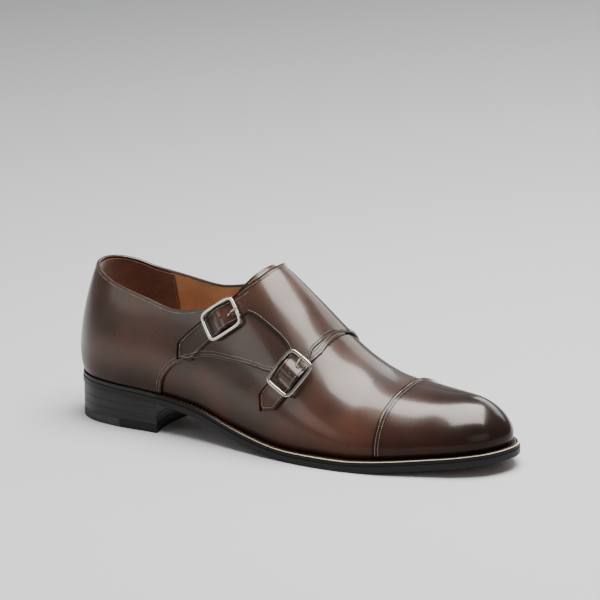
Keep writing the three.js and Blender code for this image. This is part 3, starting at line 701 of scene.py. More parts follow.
def burnished_calf(name, base="#2e201a", red="#492b20", dark="#130d0b", roughness=0.3, coat=0.42):
    """Calf dyed brown by hand and burnished: uneven brown with redder clouds, nearly black where it was
    worked at the toe, the welt and the seams, polished with wax over a fine, tight grain. The wax thins
    out low down, where the welt keeps the brush away."""
    material = finish_material(name, base, roughness, Coat_Roughness=0.13, Specular_Tint=linear("#ffebdd"))
    over_welt = stored(material, "over_welt_mm")
    joined_to(material, "Specular IOR Level", ranged(material, over_welt, 4, 26, 0.14, 0.42))
    joined_to(material, "Coat Weight", ranged(material, over_welt, 4, 26, 0.05, coat))
    clouds = ranged(material, noise(material, 46, 2), 0.38, 0.72)
    strokes = ranged(material, noise(material, 14, 4, (0.6, 1, 1)), 0.4, 0.8, 0.0, 0.35)
    tone = mixed(material, clouds, base, red)
    tone = mixed(material, strokes, tone, "#251713")
    tone = mixed(material, stored(material, "burnish"), tone, dark)
    edge = stored(material, "edge_mm")
    # Along each row of stitches the calf is sunk and painted near black: partly the darkening of pressed
    # leather, partly painted shade in the groove.
    first, second = (groove(material, edge, row) for row in SEAM_ROWS)
    second = calculated(material, "MULTIPLY", second, stored(material, "double_row"))
    pressed = calculated(material, "MAXIMUM", first, second)
    tone = mixed(material, calculated(material, "MULTIPLY", pressed, 0.9), tone, "#120c0a")
    joined_to(material, "Base Color", tone)
    worked = ranged(material, noise(material, 20, 3), 0.3, 0.7, roughness - 0.04, roughness + 0.06)
    joined_to(material, "Roughness", worked)
    grain = bumped(material, noise(material, 0.9, 2), 0.05, 0.22)
    sunk = calculated(material, "SUBTRACT", 1.0, pressed)
    joined_to(material, "Normal", bumped(material, sunk, 0.25, 0.8, grain))
    return material


def groove(material, edge, distance):
    """1 along the line pressed by a row of stitches at a distance from the cut edge, 0 away from it."""
    off = calculated(material, "ABSOLUTE", calculated(material, "SUBTRACT", edge, distance))
    return ranged(material, off, 0.1, 0.5, 1.0, 0.0)


CALF = burnished_calf("Burnished_calf")


def vamp_place(u, v, w):
    across = 180 * v - 90
    back = quarter_edge_at(90 - np.abs(across)) - UNDERLAP
    return on_last(back + (100 - back) * u, across, np.interp(w, (0, 1), VAMP_LAYER))


def at_toe(u, v):
    """Where a panel meets itself on the middle line of the toe."""
    return u == 1


vamp = sheet("vamp", 120, 110, vamp_place, folded=at_toe)
keep_burnish(vamp)
give(vamp, CALF, ["upper"])


# ---------------------------------------------------------------- toe cap
# A straight cap over the vamp's toe, of the same calf polished to a mirror, with its edge turned
# in and two rows of stitches along it.
CAP_SEAM = TOE_AT + (100 - TOE_AT) * 0.137  # `at` of the seam on the feather line
CAP_BOW = (100 - TOE_AT) * 0.06  # how far forward it runs at the ridge
CAP_LAYER = (0.03, 0.9)


def cap_edge(across):
    return CAP_SEAM + CAP_BOW * np.cos(np.radians(across)) ** 6


def cap_place(u, v, w):
    across = 180 * v - 90
    back = cap_edge(across)
    return on_last(back + (100 - back) * u, across, np.interp(w, (0, 1), CAP_LAYER))


toe_cap = sheet("toe_cap_leather", 64, 120, cap_place, folded=at_toe, cut=lambda u, v: u == 0, rounding=0.3)
store(toe_cap.data, "double_row", np.ones(len(toe_cap.data.vertices)))  # two rows of stitches
keep_burnish(toe_cap)
CAP_CALF = burnished_calf("Mirror_polished_calf", "#2a1913", "#40231b", "#0c0807", 0.24, 0.5)
give(toe_cap, CAP_CALF, ["toe_cap"])

over_cap = np.linspace(-86, 86, 240)
cap_line = np.stack([cap_edge(over_cap), over_cap], 1)
on_cap = surface(CAP_LAYER[1])
cap_rows = [(on_cap, moved_in(on_cap, cap_line, -row)) for row in SEAM_ROWS]
seam("toe_cap_stitches", cap_rows, BROWN_THREAD)


# ---------------------------------------------------------------- tongue
# Calf outside and lining calf inside, sewn together round its edge and, at its foot, to the vamp.
# It stands out past the flap's top edge.
TONGUE_EDGES = [(-40, 39.6), (-25, 42.8), (0, 44.8), (25, 42.8), (40, 39.6)]
TONGUE_FRONT = 62
TONGUE_LAYER = (-5.0, -3.2)
tongue_top = column(TONGUE_EDGES, 1)
TONGUE_SIDE = 40


def tongue_at(u, across):
    """The tongue is cut round at its top corners."""
    corner = 2.2 * np.clip((np.abs(across) - 28) / 12, 0, 1) ** 2.5
    top = tongue_top(across) + corner
    return top + (TONGUE_FRONT - top) * u


def tongue_place(u, v, w):
    across = TONGUE_SIDE * (2 * v - 1)
    return on_last(tongue_at(u, across), across, np.interp(w, (0, 1), TONGUE_LAYER))


def tongue_cut(u, v):
    return (u == 0) | (v == 0) | (v == 1)


tongue = sheet("tongue_leather", 50, 60, tongue_place, cut=tongue_cut, rounding=0.45)
keep_burnish(tongue)
give(tongue, CALF, ["tongue"])
over_tongue = np.linspace(-TONGUE_SIDE + 2, TONGUE_SIDE - 2, 160)
tongue_line = np.stack([tongue_at(0, over_tongue), over_tongue], 1)
on_tongue = surface(TONGUE_LAYER[1])
tongue_row = (on_tongue, moved_in(on_tongue, tongue_line, -2.2))
seam("tongue_stitches", [tongue_row], TAN_THREAD)


# ---------------------------------------------------------------- outer quarter
# From the back seam to the instep, over the vamp. Its front edge runs in a low curve from the
# welt to the ridge, with two rows of stitches; the buckles sit on it.
QUARTER_LAYER = (0.03, 0.76)
LOW_TURN = 0.4  # share of the way along at which its lower edge leaves the feather line
HIGH_TURN = 0.8  # and at which its upper edge passes the throat
QUARTER_GRID = (180, 44)  # columns and rows
TOP_SEAM_IN = 1.6  # from the top line to its row of stitches
DOUBLE_REACH = 12  # how far in from its lower edge a quarter can have a second row


def measured(points, steps=400):
    """A smooth line through (at, across), as a function of its share of the length on the last."""
    line = smooth_line(points, steps)
    run = run_of(on_last(line[:, 0], line[:, 1], 0.0))
    run /= run[-1]
    return lambda share: np.stack([np.interp(share, run, line[:, 0]), np.interp(share, run, line[:, 1])], -1)


def in_turn(*parts):
    """One line out of several: (share where it ends, line) after another."""

    def at(share):
        share = np.asarray(share, float)
        found, start = np.zeros((*share.shape, 2)), 0.0
        for end, line in parts:
            here = (share >= start) & (share <= end) if start == 0 else (share > start) & (share <= end)
            found[here] = line((share[here] - start) / (end - start))
            start = end
        return found

    return at


def patch(low, high, start, end):
    """A four-sided panel between its edge lines, as a function of u along and v up."""
    c00, c10 = low(np.array([0.0]))[0], low(np.array([1.0]))[0]
    c01, c11 = high(np.array([0.0]))[0], high(np.array([1.0]))[0]

    def at(u, v):
        shape = np.shape(u)
        u, v = np.ravel(u), np.ravel(v)
        s, t = u[:, None], v[:, None]
        edges = (1 - t) * low(u) + t * high(u) + (1 - s) * start(v) + s * end(v)
        corners = (1 - s) * (1 - t) * c00 + s * (1 - t) * c10 + (1 - s) * t * c01 + s * t * c11
        return (edges - corners).reshape(*shape, 2)

    return at


def straight(first, last):
    """A straight line between two places (at, across)."""
    first, last = np.array(first, float), np.array(last, float)
    return lambda share: first + (last - first) * np.asarray(share, float)[..., None]


def along_collar(side, until):
    """The top line from the back seam to a place, as a line of (at, across)."""
    return lambda share: np.stack([until * share, side * (90 - collar(until * share, side))], -1)


edge_points = [(at, up - 90) for up, at in QUARTER_EDGE]
outer_front = measured(edge_points[:-2])
outer_low = in_turn(
    (LOW_TURN, straight((0, -90), edge_points[0])),
    (1, outer_front),
)
FRONT_TOP = (61.45, -0.01)  # at the ridge it runs out under the edge of the instep flap
outer_high = in_turn(
    (HIGH_TURN, along_collar(OUTER, THROAT)),
    (1, straight((THROAT, -0.01), FRONT_TOP)),
)
outer_patch = patch(
    outer_low,
    outer_high,
    straight((0, -90), (0, float(collar(0, OUTER)) - 90)),
    straight(edge_points[-3], FRONT_TOP),
)


def outer_place(u, v, w):
    at, across = outer_patch(u, v).T
    return on_last(at, np.minimum(across, -0.01), np.interp(w, (0, 1), QUARTER_LAYER))


def outer_cut(u, v):
    return ((v == 0) & (u >= LOW_TURN)) | ((v == 1) & (u <= HIGH_TURN)) | (u == 1)


quarter_outer = sheet("quarter_outer", *QUARTER_GRID, outer_place, cut=outer_cut, rounding=0.22)


def double_below(piece, places_low):
    """Marks what lies near a piece's lower edge, which has two rows of stitches."""
    far = distances(places_low, corners_of(piece.data) / MM - ORIGIN)
    store(piece.data, "double_row", far < DOUBLE_REACH)


front_line = outer_low(np.linspace(LOW_TURN, 1, 300))
double_below(quarter_outer, surface(QUARTER_LAYER[1])(*front_line.T))
keep_burnish(quarter_outer)
give(quarter_outer, CALF, ["upper"])

on_quarter = surface(QUARTER_LAYER[1])
top_stretch = along_collar(OUTER, 44)(np.linspace(0.005, 1, 300))
outer_rows = [(on_quarter, moved_in(on_quarter, top_stretch, -TOP_SEAM_IN))]
full_front = np.vstack([front_line[3:], straight(edge_points[-3], FRONT_TOP)(np.linspace(0.05, 0.97, 40))])
outer_rows += [(on_quarter, moved_in(on_quarter, full_front, row)) for row in SEAM_ROWS]
seam("quarter_outer_stitches", outer_rows, BROWN_THREAD)


# ---------------------------------------------------------------- straps, flap and inner quarter
# One piece of calf: the inner quarter runs up over the instep as a flap, whose outer end is cut in
# a scallop between two straps. The straps are run over the buckles' centre bars and punched.
STRAPS = {  # middle lines: per cent of the length and degrees up, from the flap to the point
    "upper": [(44, 50), (41.7, 42.7), (39.3, 37), (34.8, 27.1), (29.5, 15.6)],
    "lower": [(58.5, 55.1), (58, 46.8), (57, 37.2), (54.6, 25.2), (51.2, 12.5)],
}
BUCKLE_SHARE = {"upper": 0.44, "lower": 0.51}  # where along its strap each buckle sits
STRAP_ROOT = {"upper": 0.1, "lower": 0.25}  # where along its line each strap leaves the flap
STRAP_WIDTH, STRAP_POINT = 14.2, 4.5
CLIMB, CLIMB_REACH = 3.35, 11.2  # how the strap climbs over the centre bar, and how far each way
FLAP_UNDER, FLAP_THICK = 0.8, 1.3  # where it lies on the outer quarter
strap_lines = {}
for strap, points in STRAPS.items():
    strap_lines[strap] = smooth_line([(at * PER_CENT, up) for at, up in points], 401)


def strap_frame(strap, share):
    """At shares of a strap's line: its place (x, up), the way to the flap, across it, out of it, and
    how (x, up) changes for a millimetre across."""
    line, steps = strap_lines[strap], np.linspace(0, 1, 401)
    share = np.atleast_1d(np.asarray(share, float))
    x, up = np.interp(share, steps, line[:, 0]), np.interp(share, steps, line[:, 1])
    nudge = 0.05
    origin = on_last(x / PER_CENT, up - 90, 0.0)
    to_x = (on_last((x + nudge) / PER_CENT, up - 90, 0.0) - origin) / nudge
    to_up = (on_last(x / PER_CENT, up + nudge - 90, 0.0) - origin) / nudge
    normal = unit(np.cross(to_x, to_up))
    course = np.gradient(line, axis=0)
    cx, cu = np.interp(share, steps, course[:, 0]), np.interp(share, steps, course[:, 1])
    to_flap = -unit(to_x * cx[:, None] + to_up * cu[:, None])
    across = np.cross(normal, to_flap)
    step = in_coordinates(across, to_x, to_up)
    return dict(x=x, up=up, origin=origin, to_flap=to_flap, across=across, normal=normal, step=step)


seats = {strap: strap_frame(strap, share) for strap, share in BUCKLE_SHARE.items()}
strap_length = {}
for strap in STRAPS:
    ends = strap_frame(strap, [0, 1])["origin"]
    strap_length[strap] = float(np.linalg.norm(ends[1] - ends[0]))


def strap_point_at(strap, share, beside):
    """(at, across) of a place on a strap, `beside` its middle line in millimetres."""
    spot = strap_frame(strap, share)
    x = spot["x"] + beside * spot["step"][:, 0]
    up = spot["up"] + beside * spot["step"][:, 1]
    return x / PER_CENT, up - 90


def strap_surface(strap, out):
    """A strap's face at a distance out, over its share of the line in per cent and mm across."""

    def at(hundredths, beside):
        share = np.asarray(hundredths) / 100
        spot = strap_frame(strap, share)
        base = on_last(*strap_point_at(strap, share, beside), out)
        seat = seats[strap]
        away = np.sum((base - seat["origin"]) * seat["to_flap"], 1)
        hump = np.cos(np.pi / 2 * np.clip(np.abs(away) / CLIMB_REACH, 0, 1)) ** 2
        return base + spot["normal"] * (CLIMB * hump)[:, None]

    return at


def strap_end(strap, beside):
    """The share of the line at which the strap ends, pointed in the middle."""
    return 1 - STRAP_POINT / strap_length[strap] * np.abs(beside) / (STRAP_WIDTH / 2)


def strap_place_of(strap):
    faces = [strap_surface(strap, out) for out in (FLAP_UNDER, FLAP_UNDER + FLAP_THICK)]

    def place(u, v, w):
        beside = STRAP_WIDTH * (v - 0.5)
        share = STRAP_ROOT[strap] + (strap_end(strap, beside) - STRAP_ROOT[strap]) * u
        low, high = (face(100 * share, beside) for face in faces)
        return low + (high - low) * w[:, None]

    return place


def root_corner(strap, beside):
    return tuple(float(c[0]) for c in strap_point_at(strap, STRAP_ROOT[strap], np.array([beside])))


HALF_STRAP = STRAP_WIDTH / 2
lower_front, lower_back = root_corner("lower", -HALF_STRAP), root_corner("lower", HALF_STRAP)
upper_front, upper_back = root_corner("upper", -HALF_STRAP), root_corner("upper", HALF_STRAP)
SCALLOP = [(54.95, -42.7), (53.6, -41.9), (49.7, -42.2), (46.6, -42.8), (45, -44)]
scallop = measured([lower_back, *SCALLOP, upper_front])
ROOT_SHARE = 0.2  # of the flap's outer end that each strap takes
flap_end = in_turn(
    (ROOT_SHARE, straight(lower_front, lower_back)),
    (1 - ROOT_SHARE, scallop),
    (1, straight(upper_front, upper_back)),
)
INNER_EDGE = [
    (24.7, 90), (25.8, 83.2), (28.5, 77.2), (33.3, 72.2), (37.3, 68.7), (44, 65.3), (48.5, 62.9),
    (52.5, 60), (57, 53.5), (60, 44), (61.2, 28), (61.6, 12), (61.4, 0), (60.6, -10), (60, -24),
    (59.5, -34), lower_front,
]
FLAP_TOP = [
    (42.5, 33.5), (44.9, 25), (46.6, 13), (47.2, 0), (46.8, -10), (45.4, -24), (43.1, -34), upper_back,
]
INNER_LOW_TURN, INNER_HIGH_TURN = 0.3, 0.58
COLLAR_LEFT = 40  # `at` where the flap's top edge leaves the top line
inner_start = (COLLAR_LEFT, 90 - float(collar(COLLAR_LEFT, INNER)))
inner_low = in_turn((INNER_LOW_TURN, straight((0, 90), INNER_EDGE[0])), (1, measured(INNER_EDGE)))
inner_high = in_turn(
    (INNER_HIGH_TURN, along_collar(INNER, COLLAR_LEFT)),
    (1, measured([inner_start, *FLAP_TOP])),
)
inner_patch = patch(
    inner_low,
    inner_high,
    straight((0, 90), (0, 90 - float(collar(0, INNER)))),
    flap_end,
)


def lap_share(across):
    """0 where the panel is the inner quarter, 1 where the flap lies on the outer quarter."""
    t = np.clip((32 - across) / 28, 0, 1)
    return t * t * (3 - 2 * t)


def flap_face(top):
    """The panel's upper or under face, as a function of at and across."""

    def at(at_, across):
        low = QUARTER_LAYER[0] + (FLAP_UNDER - QUARTER_LAYER[0]) * lap_share(across)
        thick = QUARTER_LAYER[1] - QUARTER_LAYER[0]
        thick = thick + (FLAP_THICK - thick) * lap_share(across)
        return on_last(at_, across, low + thick * top)

    return at


def inner_place(u, v, w):
    at, across = inner_patch(u, v).T
    low, high = flap_face(0)(at, across), flap_face(1)(at, across)
    return low + (high - low) * w[:, None]


FLAP_ROWS = 60
STRAP_ROWS = round(FLAP_ROWS * ROOT_SHARE)


def at_roots(v):
    return (v <= ROOT_SHARE + 1e-6) | (v >= 1 - ROOT_SHARE - 1e-6)


def inner_cut(u, v):
    scallop_end = (u == 1) & (~at_roots(v) | np.isclose(v, ROOT_SHARE) | np.isclose(v, 1 - ROOT_SHARE))
    return ((v == 0) & (u >= INNER_LOW_TURN)) | (v == 1) | scallop_end | ((u == 1) & np.isin(v, (0, 1)))


def strap_root(u, v):
    """Where a strap meets the flap."""
    return u == 0


def strap_cut(u, v):
    return (u == 1) | np.isin(v, (0, 1))


instep = sheet(
    "instep_flap_and_straps", 240, FLAP_ROWS, inner_place, lambda u, v: (u == 1) & at_roots(v), inner_cut
)
for strap in STRAPS:
    ribbon = sheet("strap", 64, STRAP_ROWS, strap_place_of(strap), strap_root, strap_cut)
    ribbon.select_set(True)
    instep.select_set(True)
    bpy.context.view_layer.objects.active = instep
    bpy.ops.object.join()
bpy.ops.object.mode_set(mode="EDIT")
bpy.ops.mesh.select_all(action="SELECT")
bpy.ops.mesh.remove_doubles(threshold=2e-5)
bpy.ops.mesh.normals_make_consistent(inside=False)
bpy.ops.object.mode_set(mode="OBJECT")
round_edges(instep, 0.3)

# Holes for the prong: one in the middle of the frame, one under the prong and one past the frame.
HOLE_RADIUS, PUNCH_DEPTH = 0.85, 4
HOLES_ALONG = (0, 8, 16)  # from the centre bar towards the flap
punch = None
for strap, seat in seats.items():
    shares = np.linspace(0, 1, 400)
    spots = strap_frame(strap, shares)["origin"]
    away = np.sum((spots - seat["origin"]) * seat["to_flap"], 1)
    middle_face = strap_surface(strap, FLAP_UNDER + FLAP_THICK / 2)
    for along in HOLES_ALONG:
        share = np.interp(-along, -away, shares)
        centre = middle_face(np.array([100 * share]), np.array([0.0]))[0]
        where = (centre + ORIGIN) * MM
        normal = Vector(strap_frame(strap, share)["normal"][0])
        bpy.ops.object.select_all(action="DESELECT")
        turn = normal.to_track_quat("Z", "Y").to_euler()
        bpy.ops.mesh.primitive_cylinder_add(
            vertices=18, radius=HOLE_RADIUS * MM, depth=PUNCH_DEPTH * MM, location=where, rotation=turn
        )
        drilled = bpy.context.object
        bpy.ops.object.transform_apply(location=True, rotation=True, scale=True)
        if punch is not None:
            punch.select_set(True)
            bpy.context.view_layer.objects.active = punch
            bpy.ops.object.join()
        else:
            punch = drilled
cutting = instep.modifiers.new("Holes", "BOOLEAN")
cutting.object = punch
cutting.operation = "DIFFERENCE"
cutting.solver = "EXACT"
select_only(instep)
bpy.ops.object.modifier_apply(modifier="Holes")
bpy.data.objects.remove(punch)
bpy.ops.object.shade_smooth_by_angle(angle=math.radians(40))
inner_front = inner_low(np.linspace(INNER_LOW_TURN, 0.62, 200))
double_below(instep, flap_face(1)(*inner_front.T))
keep_burnish(instep)
give(instep, CALF, ["instep_flap", "upper"])

on_flap = flap_face(1)
flap_rows = [
    (on_flap, moved_in(on_flap, inner_high(np.linspace(0.005, 0.985, 420)), TOP_SEAM_IN)),
    (on_flap, moved_in(on_flap, inner_low(np.linspace(INNER_LOW_TURN + 0.005, 0.985, 420)), -SEAM_ROWS[0])),
    (on_flap, moved_in(on_flap, inner_front[3:], -SEAM_ROWS[1])),
    (on_flap, moved_in(on_flap, scallop(np.linspace(0.05, 0.95, 120)), -SEAM_ROWS[0])),
]
for strap in STRAPS:
    face = strap_surface(strap, FLAP_UNDER + FLAP_THICK)
    root, side = STRAP_ROOT[strap], HALF_STRAP - SEAM_ROWS[0]
    drawn_in = 1.8 / strap_length[strap]
    tip, shoulder = 1 - drawn_in, float(strap_end(strap, side)) - drawn_in
    corners = [(root, side), (shoulder, side), (tip, 0), (shoulder, -side), (root, -side)]
    for (a0, b0), (a1, b1) in zip(corners, corners[1:]):
        t = np.linspace(0, 1, 80)
        flap_rows.append((face, np.stack([100 * (a0 + (a1 - a0) * t), b0 + (b1 - b0) * t], 1)))
seam("flap_stitches", flap_rows, BROWN_THREAD)


# ---------------------------------------------------------------- turned top edge and back stay
# The top line is finished with a narrow strip of calf turned over it, and the seam up the back of
# the heel is covered by a thin stay.
def rolled(name, path, out_way, wide, thick, sides=10, closed=False, taper=None):
    """A strip or rod with an oval section along a path: a grid rolled round the line, its ends drawn
    shut. out_way is the way its thickness faces; wide and thick are half sizes; taper scales each ring."""
    path, out_way = np.array(path, float), np.array(out_way, float)
    count = len(path) - 1
    if closed:
        way = unit(np.roll(path[:-1], -1, 0) - np.roll(path[:-1], 1, 0))
        way = np.vstack([way, way[:1]])
    else:
        way = unit(np.gradient(path, axis=0))
    beside = unit(np.cross(out_way, way))
    stand = np.cross(way, beside)
    scale = np.ones(count + 1) if taper is None else np.array(taper, float)

    bpy.ops.object.select_all(action="DESELECT")
    bpy.ops.mesh.primitive_grid_add(x_subdivisions=count, y_subdivisions=sides, size=1)
    piece = bpy.context.object
    piece.name = piece.data.name = name
    u, v = corners_of(piece.data).T[:2] + 0.5
    k = np.round(u * count).astype(int)
    turn = 2 * np.pi * (np.round(v * sides) / sides)
    ring = beside[k] * (wide * np.cos(turn))[:, None] + stand[k] * (thick * np.sin(turn))[:, None]
    lay(piece.data, path[k] + ring * scale[k][:, None])
    bpy.ops.object.mode_set(mode="EDIT")
    bpy.ops.mesh.select_all(action="SELECT")
    bpy.ops.mesh.remove_doubles(threshold=2e-6)
    bpy.ops.mesh.select_all(action="DESELECT")
    bpy.ops.mesh.select_non_manifold()
    if not closed:
        bpy.ops.mesh.edge_face_add()
    bpy.ops.mesh.select_all(action="SELECT")
    bpy.ops.mesh.normals_make_consistent(inside=False)
    bpy.ops.object.mode_set(mode="OBJECT")
    bpy.ops.object.shade_smooth_by_angle(angle=math.radians(50))
    return piece


ROLL_OUT, ROLL_LIFT = -0.42, 0.25  # how it lies to the last and to the top line
ROLL_END = 46.6  # `at` of its two ends
roll_line = []
for side in (OUTER, INNER):
    at = np.linspace(ROLL_END, 0, 170) if side == OUTER else np.linspace(0, ROLL_END, 170)[1:]
    roll_line.append(np.stack([at, side * (90 - collar(at, side))], 1))
roll_line = np.vstack(roll_line)
roll_middle = on_last(roll_line[:, 0], roll_line[:, 1], ROLL_OUT)
roll_out = outwards(surface(ROLL_OUT), np.maximum(roll_line[:, 0], 0.05), roll_line[:, 1])
roll_middle[:, 2] += ROLL_LIFT
top_roll = rolled("top_line_roll", roll_middle, roll_out, 0.75, 1.12, sides=10)
keep_burnish(top_roll)
give(top_roll, CALF)

STAY_LAYER = (0.78, 1.35)
STAY_HALF = (0.75, 1.3)  # half its width in per cent of the length, at its foot and its head
STAY_FOOT, STAY_HEAD = 2, 1.2  # degrees over the feather line, and under the top line


def stay_place(u, v, w):
    half = np.interp(v, (0, 1), STAY_HALF)
    signed = (2 * u - 1) * half
    side = np.where(signed < 0, OUTER, INNER)
    at = np.abs(signed)
    up = STAY_FOOT + (collar(0 * at, side) - (STAY_FOOT + STAY_HEAD)) * v
    return on_last(at, side * (90 - up), np.interp(w, (0, 1), STAY_LAYER))


back_stay = sheet(
    "back_stay", 12, 40, stay_place, cut=lambda u, v: np.isin(u, (0, 1)), rounding=0.2
)
keep_burnish(back_stay)
give(back_stay, CALF, ["upper"])


# ---------------------------------------------------------------- buckles
# Cast brass frames, filed round, nickel-plated and polished. Each has a centre bar under the strap,
# and a prong that comes up through the strap and rests on the end bar.
FRAME_LENGTH, FRAME_WIDTH, BAR_WIDE, BAR_THICK = 26.4, 20.6, 2.1, 1.8
FRAME_STAND, FRAME_BOW, SQUARENESS = 3.7, 0.25, 5.2
CENTRE_RADIUS, CENTRE_STAND, PRONG_RADIUS = 0.6, 2.55, 0.55


def polished_nickel():
    """Bright nickel plate: a warm white metal, mirror smooth but for fine polishing marks."""
    material = finish_material("Polished_nickel", "#b9b1a5", 0.12, Metallic=1.0)
    marks = ranged(material, noise(material, 1.6, 3, (1, 1, 3)), 0.3, 0.7, 0.1, 0.22)
    joined_to(material, "Roughness", marks)
    return material


NICKEL = polished_nickel()


def in_seat(seat, along, across, stand):
    """Places in a buckle's own frame: along the strap to the flap, across it, and out of it."""
    along, across, stand = (np.asarray(v, float)[..., None] for v in (along, across, stand))
    origin, to_flap, sideways, out = (seat[way][0] for way in ("origin", "to_flap", "across", "normal"))
    return origin + to_flap * along + sideways * across + out * stand


def buckle_frame(strap, seat):
    """A filled circle is squared into the frame's outline, inset for the bars, thickened and filed."""
    bpy.ops.object.select_all(action="DESELECT")
    bpy.ops.mesh.primitive_circle_add(vertices=72, radius=1, fill_type="NGON")
    buckle = bpy.context.object
    buckle.name = buckle.data.name = f"buckle_frame_{strap}"
    turn = np.arctan2(*corners_of(buckle.data).T[1::-1])
    fine = np.linspace(-np.pi, np.pi, 1441)
    x, y = (np.sign(f(fine)) * np.abs(f(fine)) ** (2 / SQUARENESS) for f in (np.cos, np.sin))
    x, y = x * FRAME_LENGTH / 2, y * FRAME_WIDTH / 2
    run = np.concatenate([[0], np.cumsum(np.hypot(np.diff(x), np.diff(y)))])
    even = np.interp(turn, (-np.pi, np.pi), (0, run[-1]))
    placed = np.stack([np.interp(even, run, x), np.interp(even, run, y), 0 * even], 1)
    buckle.data.vertices.foreach_set("co", (placed * MM).ravel())
    bpy.ops.object.mode_set(mode="EDIT")
    bpy.ops.mesh.select_all(action="SELECT")
    bpy.ops.mesh.inset(thickness=BAR_WIDE * MM)
    bpy.ops.mesh.delete(type="FACE")
    bpy.ops.mesh.select_all(action="SELECT")
    bpy.ops.mesh.extrude_region_move(TRANSFORM_OT_translate={"value": (0, 0, BAR_THICK * MM)})
    bpy.ops.mesh.normals_make_consistent(inside=False)
    bpy.ops.object.mode_set(mode="OBJECT")
    round_edges(buckle, 0.62, segments=4, angle=60)
    along, across, stand = corners_of(buckle.data).T / MM
    stand = stand + FRAME_STAND - BAR_THICK / 2 - FRAME_BOW * (2 * along / FRAME_LENGTH) ** 2
    lay(buckle.data, in_seat(seat, along, across, stand))
    bpy.ops.object.mode_set(mode="EDIT")
    bpy.ops.mesh.select_all(action="SELECT")
    bpy.ops.mesh.normals_make_consistent(inside=False)
    bpy.ops.object.mode_set(mode="OBJECT")
    bpy.ops.object.shade_smooth_by_angle(angle=math.radians(35))
    return buckle


def centre_bar(strap, seat):
    half = FRAME_WIDTH / 2 - BAR_WIDE * 0.7
    across = np.linspace(-half, half, 24)
    rise = (FRAME_STAND - CENTRE_STAND) * (np.abs(across) / half) ** 8
    path = in_seat(seat, 0 * across, across, CENTRE_STAND + rise * 0.5)
    out = np.repeat(seat["normal"], len(path), 0)
    return rolled(f"centre_bar_{strap}", path, out, CENTRE_RADIUS, CENTRE_RADIUS, sides=12)


def prong(strap, seat):
    """A wire, curled round the centre bar and drawn out to a blunt point on the end bar."""
    curl = CENTRE_RADIUS + GAP + PRONG_RADIUS
    turn = np.radians(np.linspace(190, 340, 6))
    rests_at = FRAME_STAND - FRAME_BOW + BAR_THICK / 2 + 0.15 + PRONG_RADIUS
    knots = [(curl * math.cos(t), CENTRE_STAND + curl * math.sin(t)) for t in turn]
    knots += [(2.6, 2.1), (5, 2.3), (7.2, 3.3), (9, 4.6), (10.8, rests_at), (13.5, rests_at - 0.1)]
    line = smooth_line(knots, 60)
    path = in_seat(seat, line[:, 0], 0 * line[:, 0], line[:, 1])
    out = np.repeat(seat["normal"], len(path), 0)
    taper = np.ones(60)
    taper[0], taper[-3:] = 0.6, (0.92, 0.75, 0.4)
    sideways = np.repeat(seat["across"], len(path), 0)
    return rolled(f"prong_{strap}_wire", path, sideways, PRONG_RADIUS, PRONG_RADIUS * 1.25, 12, taper=taper)


for strap, seat in seats.items():
    give(buckle_frame(strap, seat), NICKEL, [f"buckle_{strap}"])
    give(centre_bar(strap, seat), NICKEL, [f"buckle_{strap}"])
    give(prong(strap, seat), NICKEL, [f"prong_{strap}"])


# ---------------------------------------------------------------- welt and seat rand
# A strip of leather sewn to the upper and insole from heel breast to heel breast, and stitched
# through to the outsole. Its edge is inked with the sole's, and its top is stained brown and
# wheeled between the stitches. Round the heel a rand takes its place.
BREAST = 23.6  # per cent of the length: the front of the heel, at its sides
WELT_INSET = 0.4
EDGE_GAP = 0.04
WELT_STITCH_IN = 2.3
sole_reach = edge_reach(outline(0))


INK = "#121112"  # on every cut edge of the sole and the heel


def inked_edge():
    """Leather edges sanded, inked near black, waxed and burnished with a hot iron: a satin charcoal
    with faint lines along the layers."""
    material = finish_material("Inked_leather_edge", INK, 0.42, Specular_IOR_Level=0.28)
    layers = ranged(material, noise(material, 14, 3, (0.35, 0.35, 7)), 0.35, 0.7)
    joined_to(material, "Base Color", mixed(material, layers, INK, "#1d1b1b"))
    fibres = noise(material, 6, 3, (0.5, 0.5, 6))
    joined_to(material, "Normal", bumped(material, fibres, 0.06, 0.3))
    return material


EDGE_INK = inked_edge()


def part_of(material, vector, axis):
    """One number of a vector: 0 for x, 1 for y and 2 for z."""
    return add_node(material, "ShaderNodeSeparateXYZ", links={0: vector}).outputs[axis]


def stained_welt():
    """Vegetable-tanned welting, its top stained brown; along the forepart a light cream line is painted on
    its very edge, a painted highlight on the rounded top edge."""
    material = finish_material("Stained_welt_leather", "#3a2a24", 0.45, Specular_IOR_Level=0.15)
    at_edge = ranged(material, stored(material, "edge_mm"), 0.9, 1.4, 1.0, 0.0)
    place = add_node(material, "ShaderNodeTexCoord").outputs["Object"]
    fore = ranged(material, part_of(material, place, 0), -0.06, 0.03)
    # The cream line on the welt's top edge is a painted highlight, kept to the forepart.
    painted_edge_highlight = calculated(material, "MULTIPLY", at_edge, fore)
    top = mixed(material, painted_edge_highlight, "#2a1e19", "#dccdb4")
    normal = add_node(material, "ShaderNodeNewGeometry").outputs["Normal"]
    upward = ranged(material, part_of(material, normal, 2), 0.35, 0.7)
    joined_to(material, "Base Color", mixed(material, upward, INK, top))
    joined_to(material, "Normal", bumped(material, noise(material, 1.2, 3), 0.1, 0.4))
    return material


UNDER_UPPER = 99  # an inset past the end of the strip, which lies under the upper
WELT_KNOTS = [0, 0.5, 1.2, 1.9, 2.2, 2.6, 2.9, 4, UNDER_UPPER]  # insets of its rows
WELT_ROWS = len(WELT_KNOTS) - 1


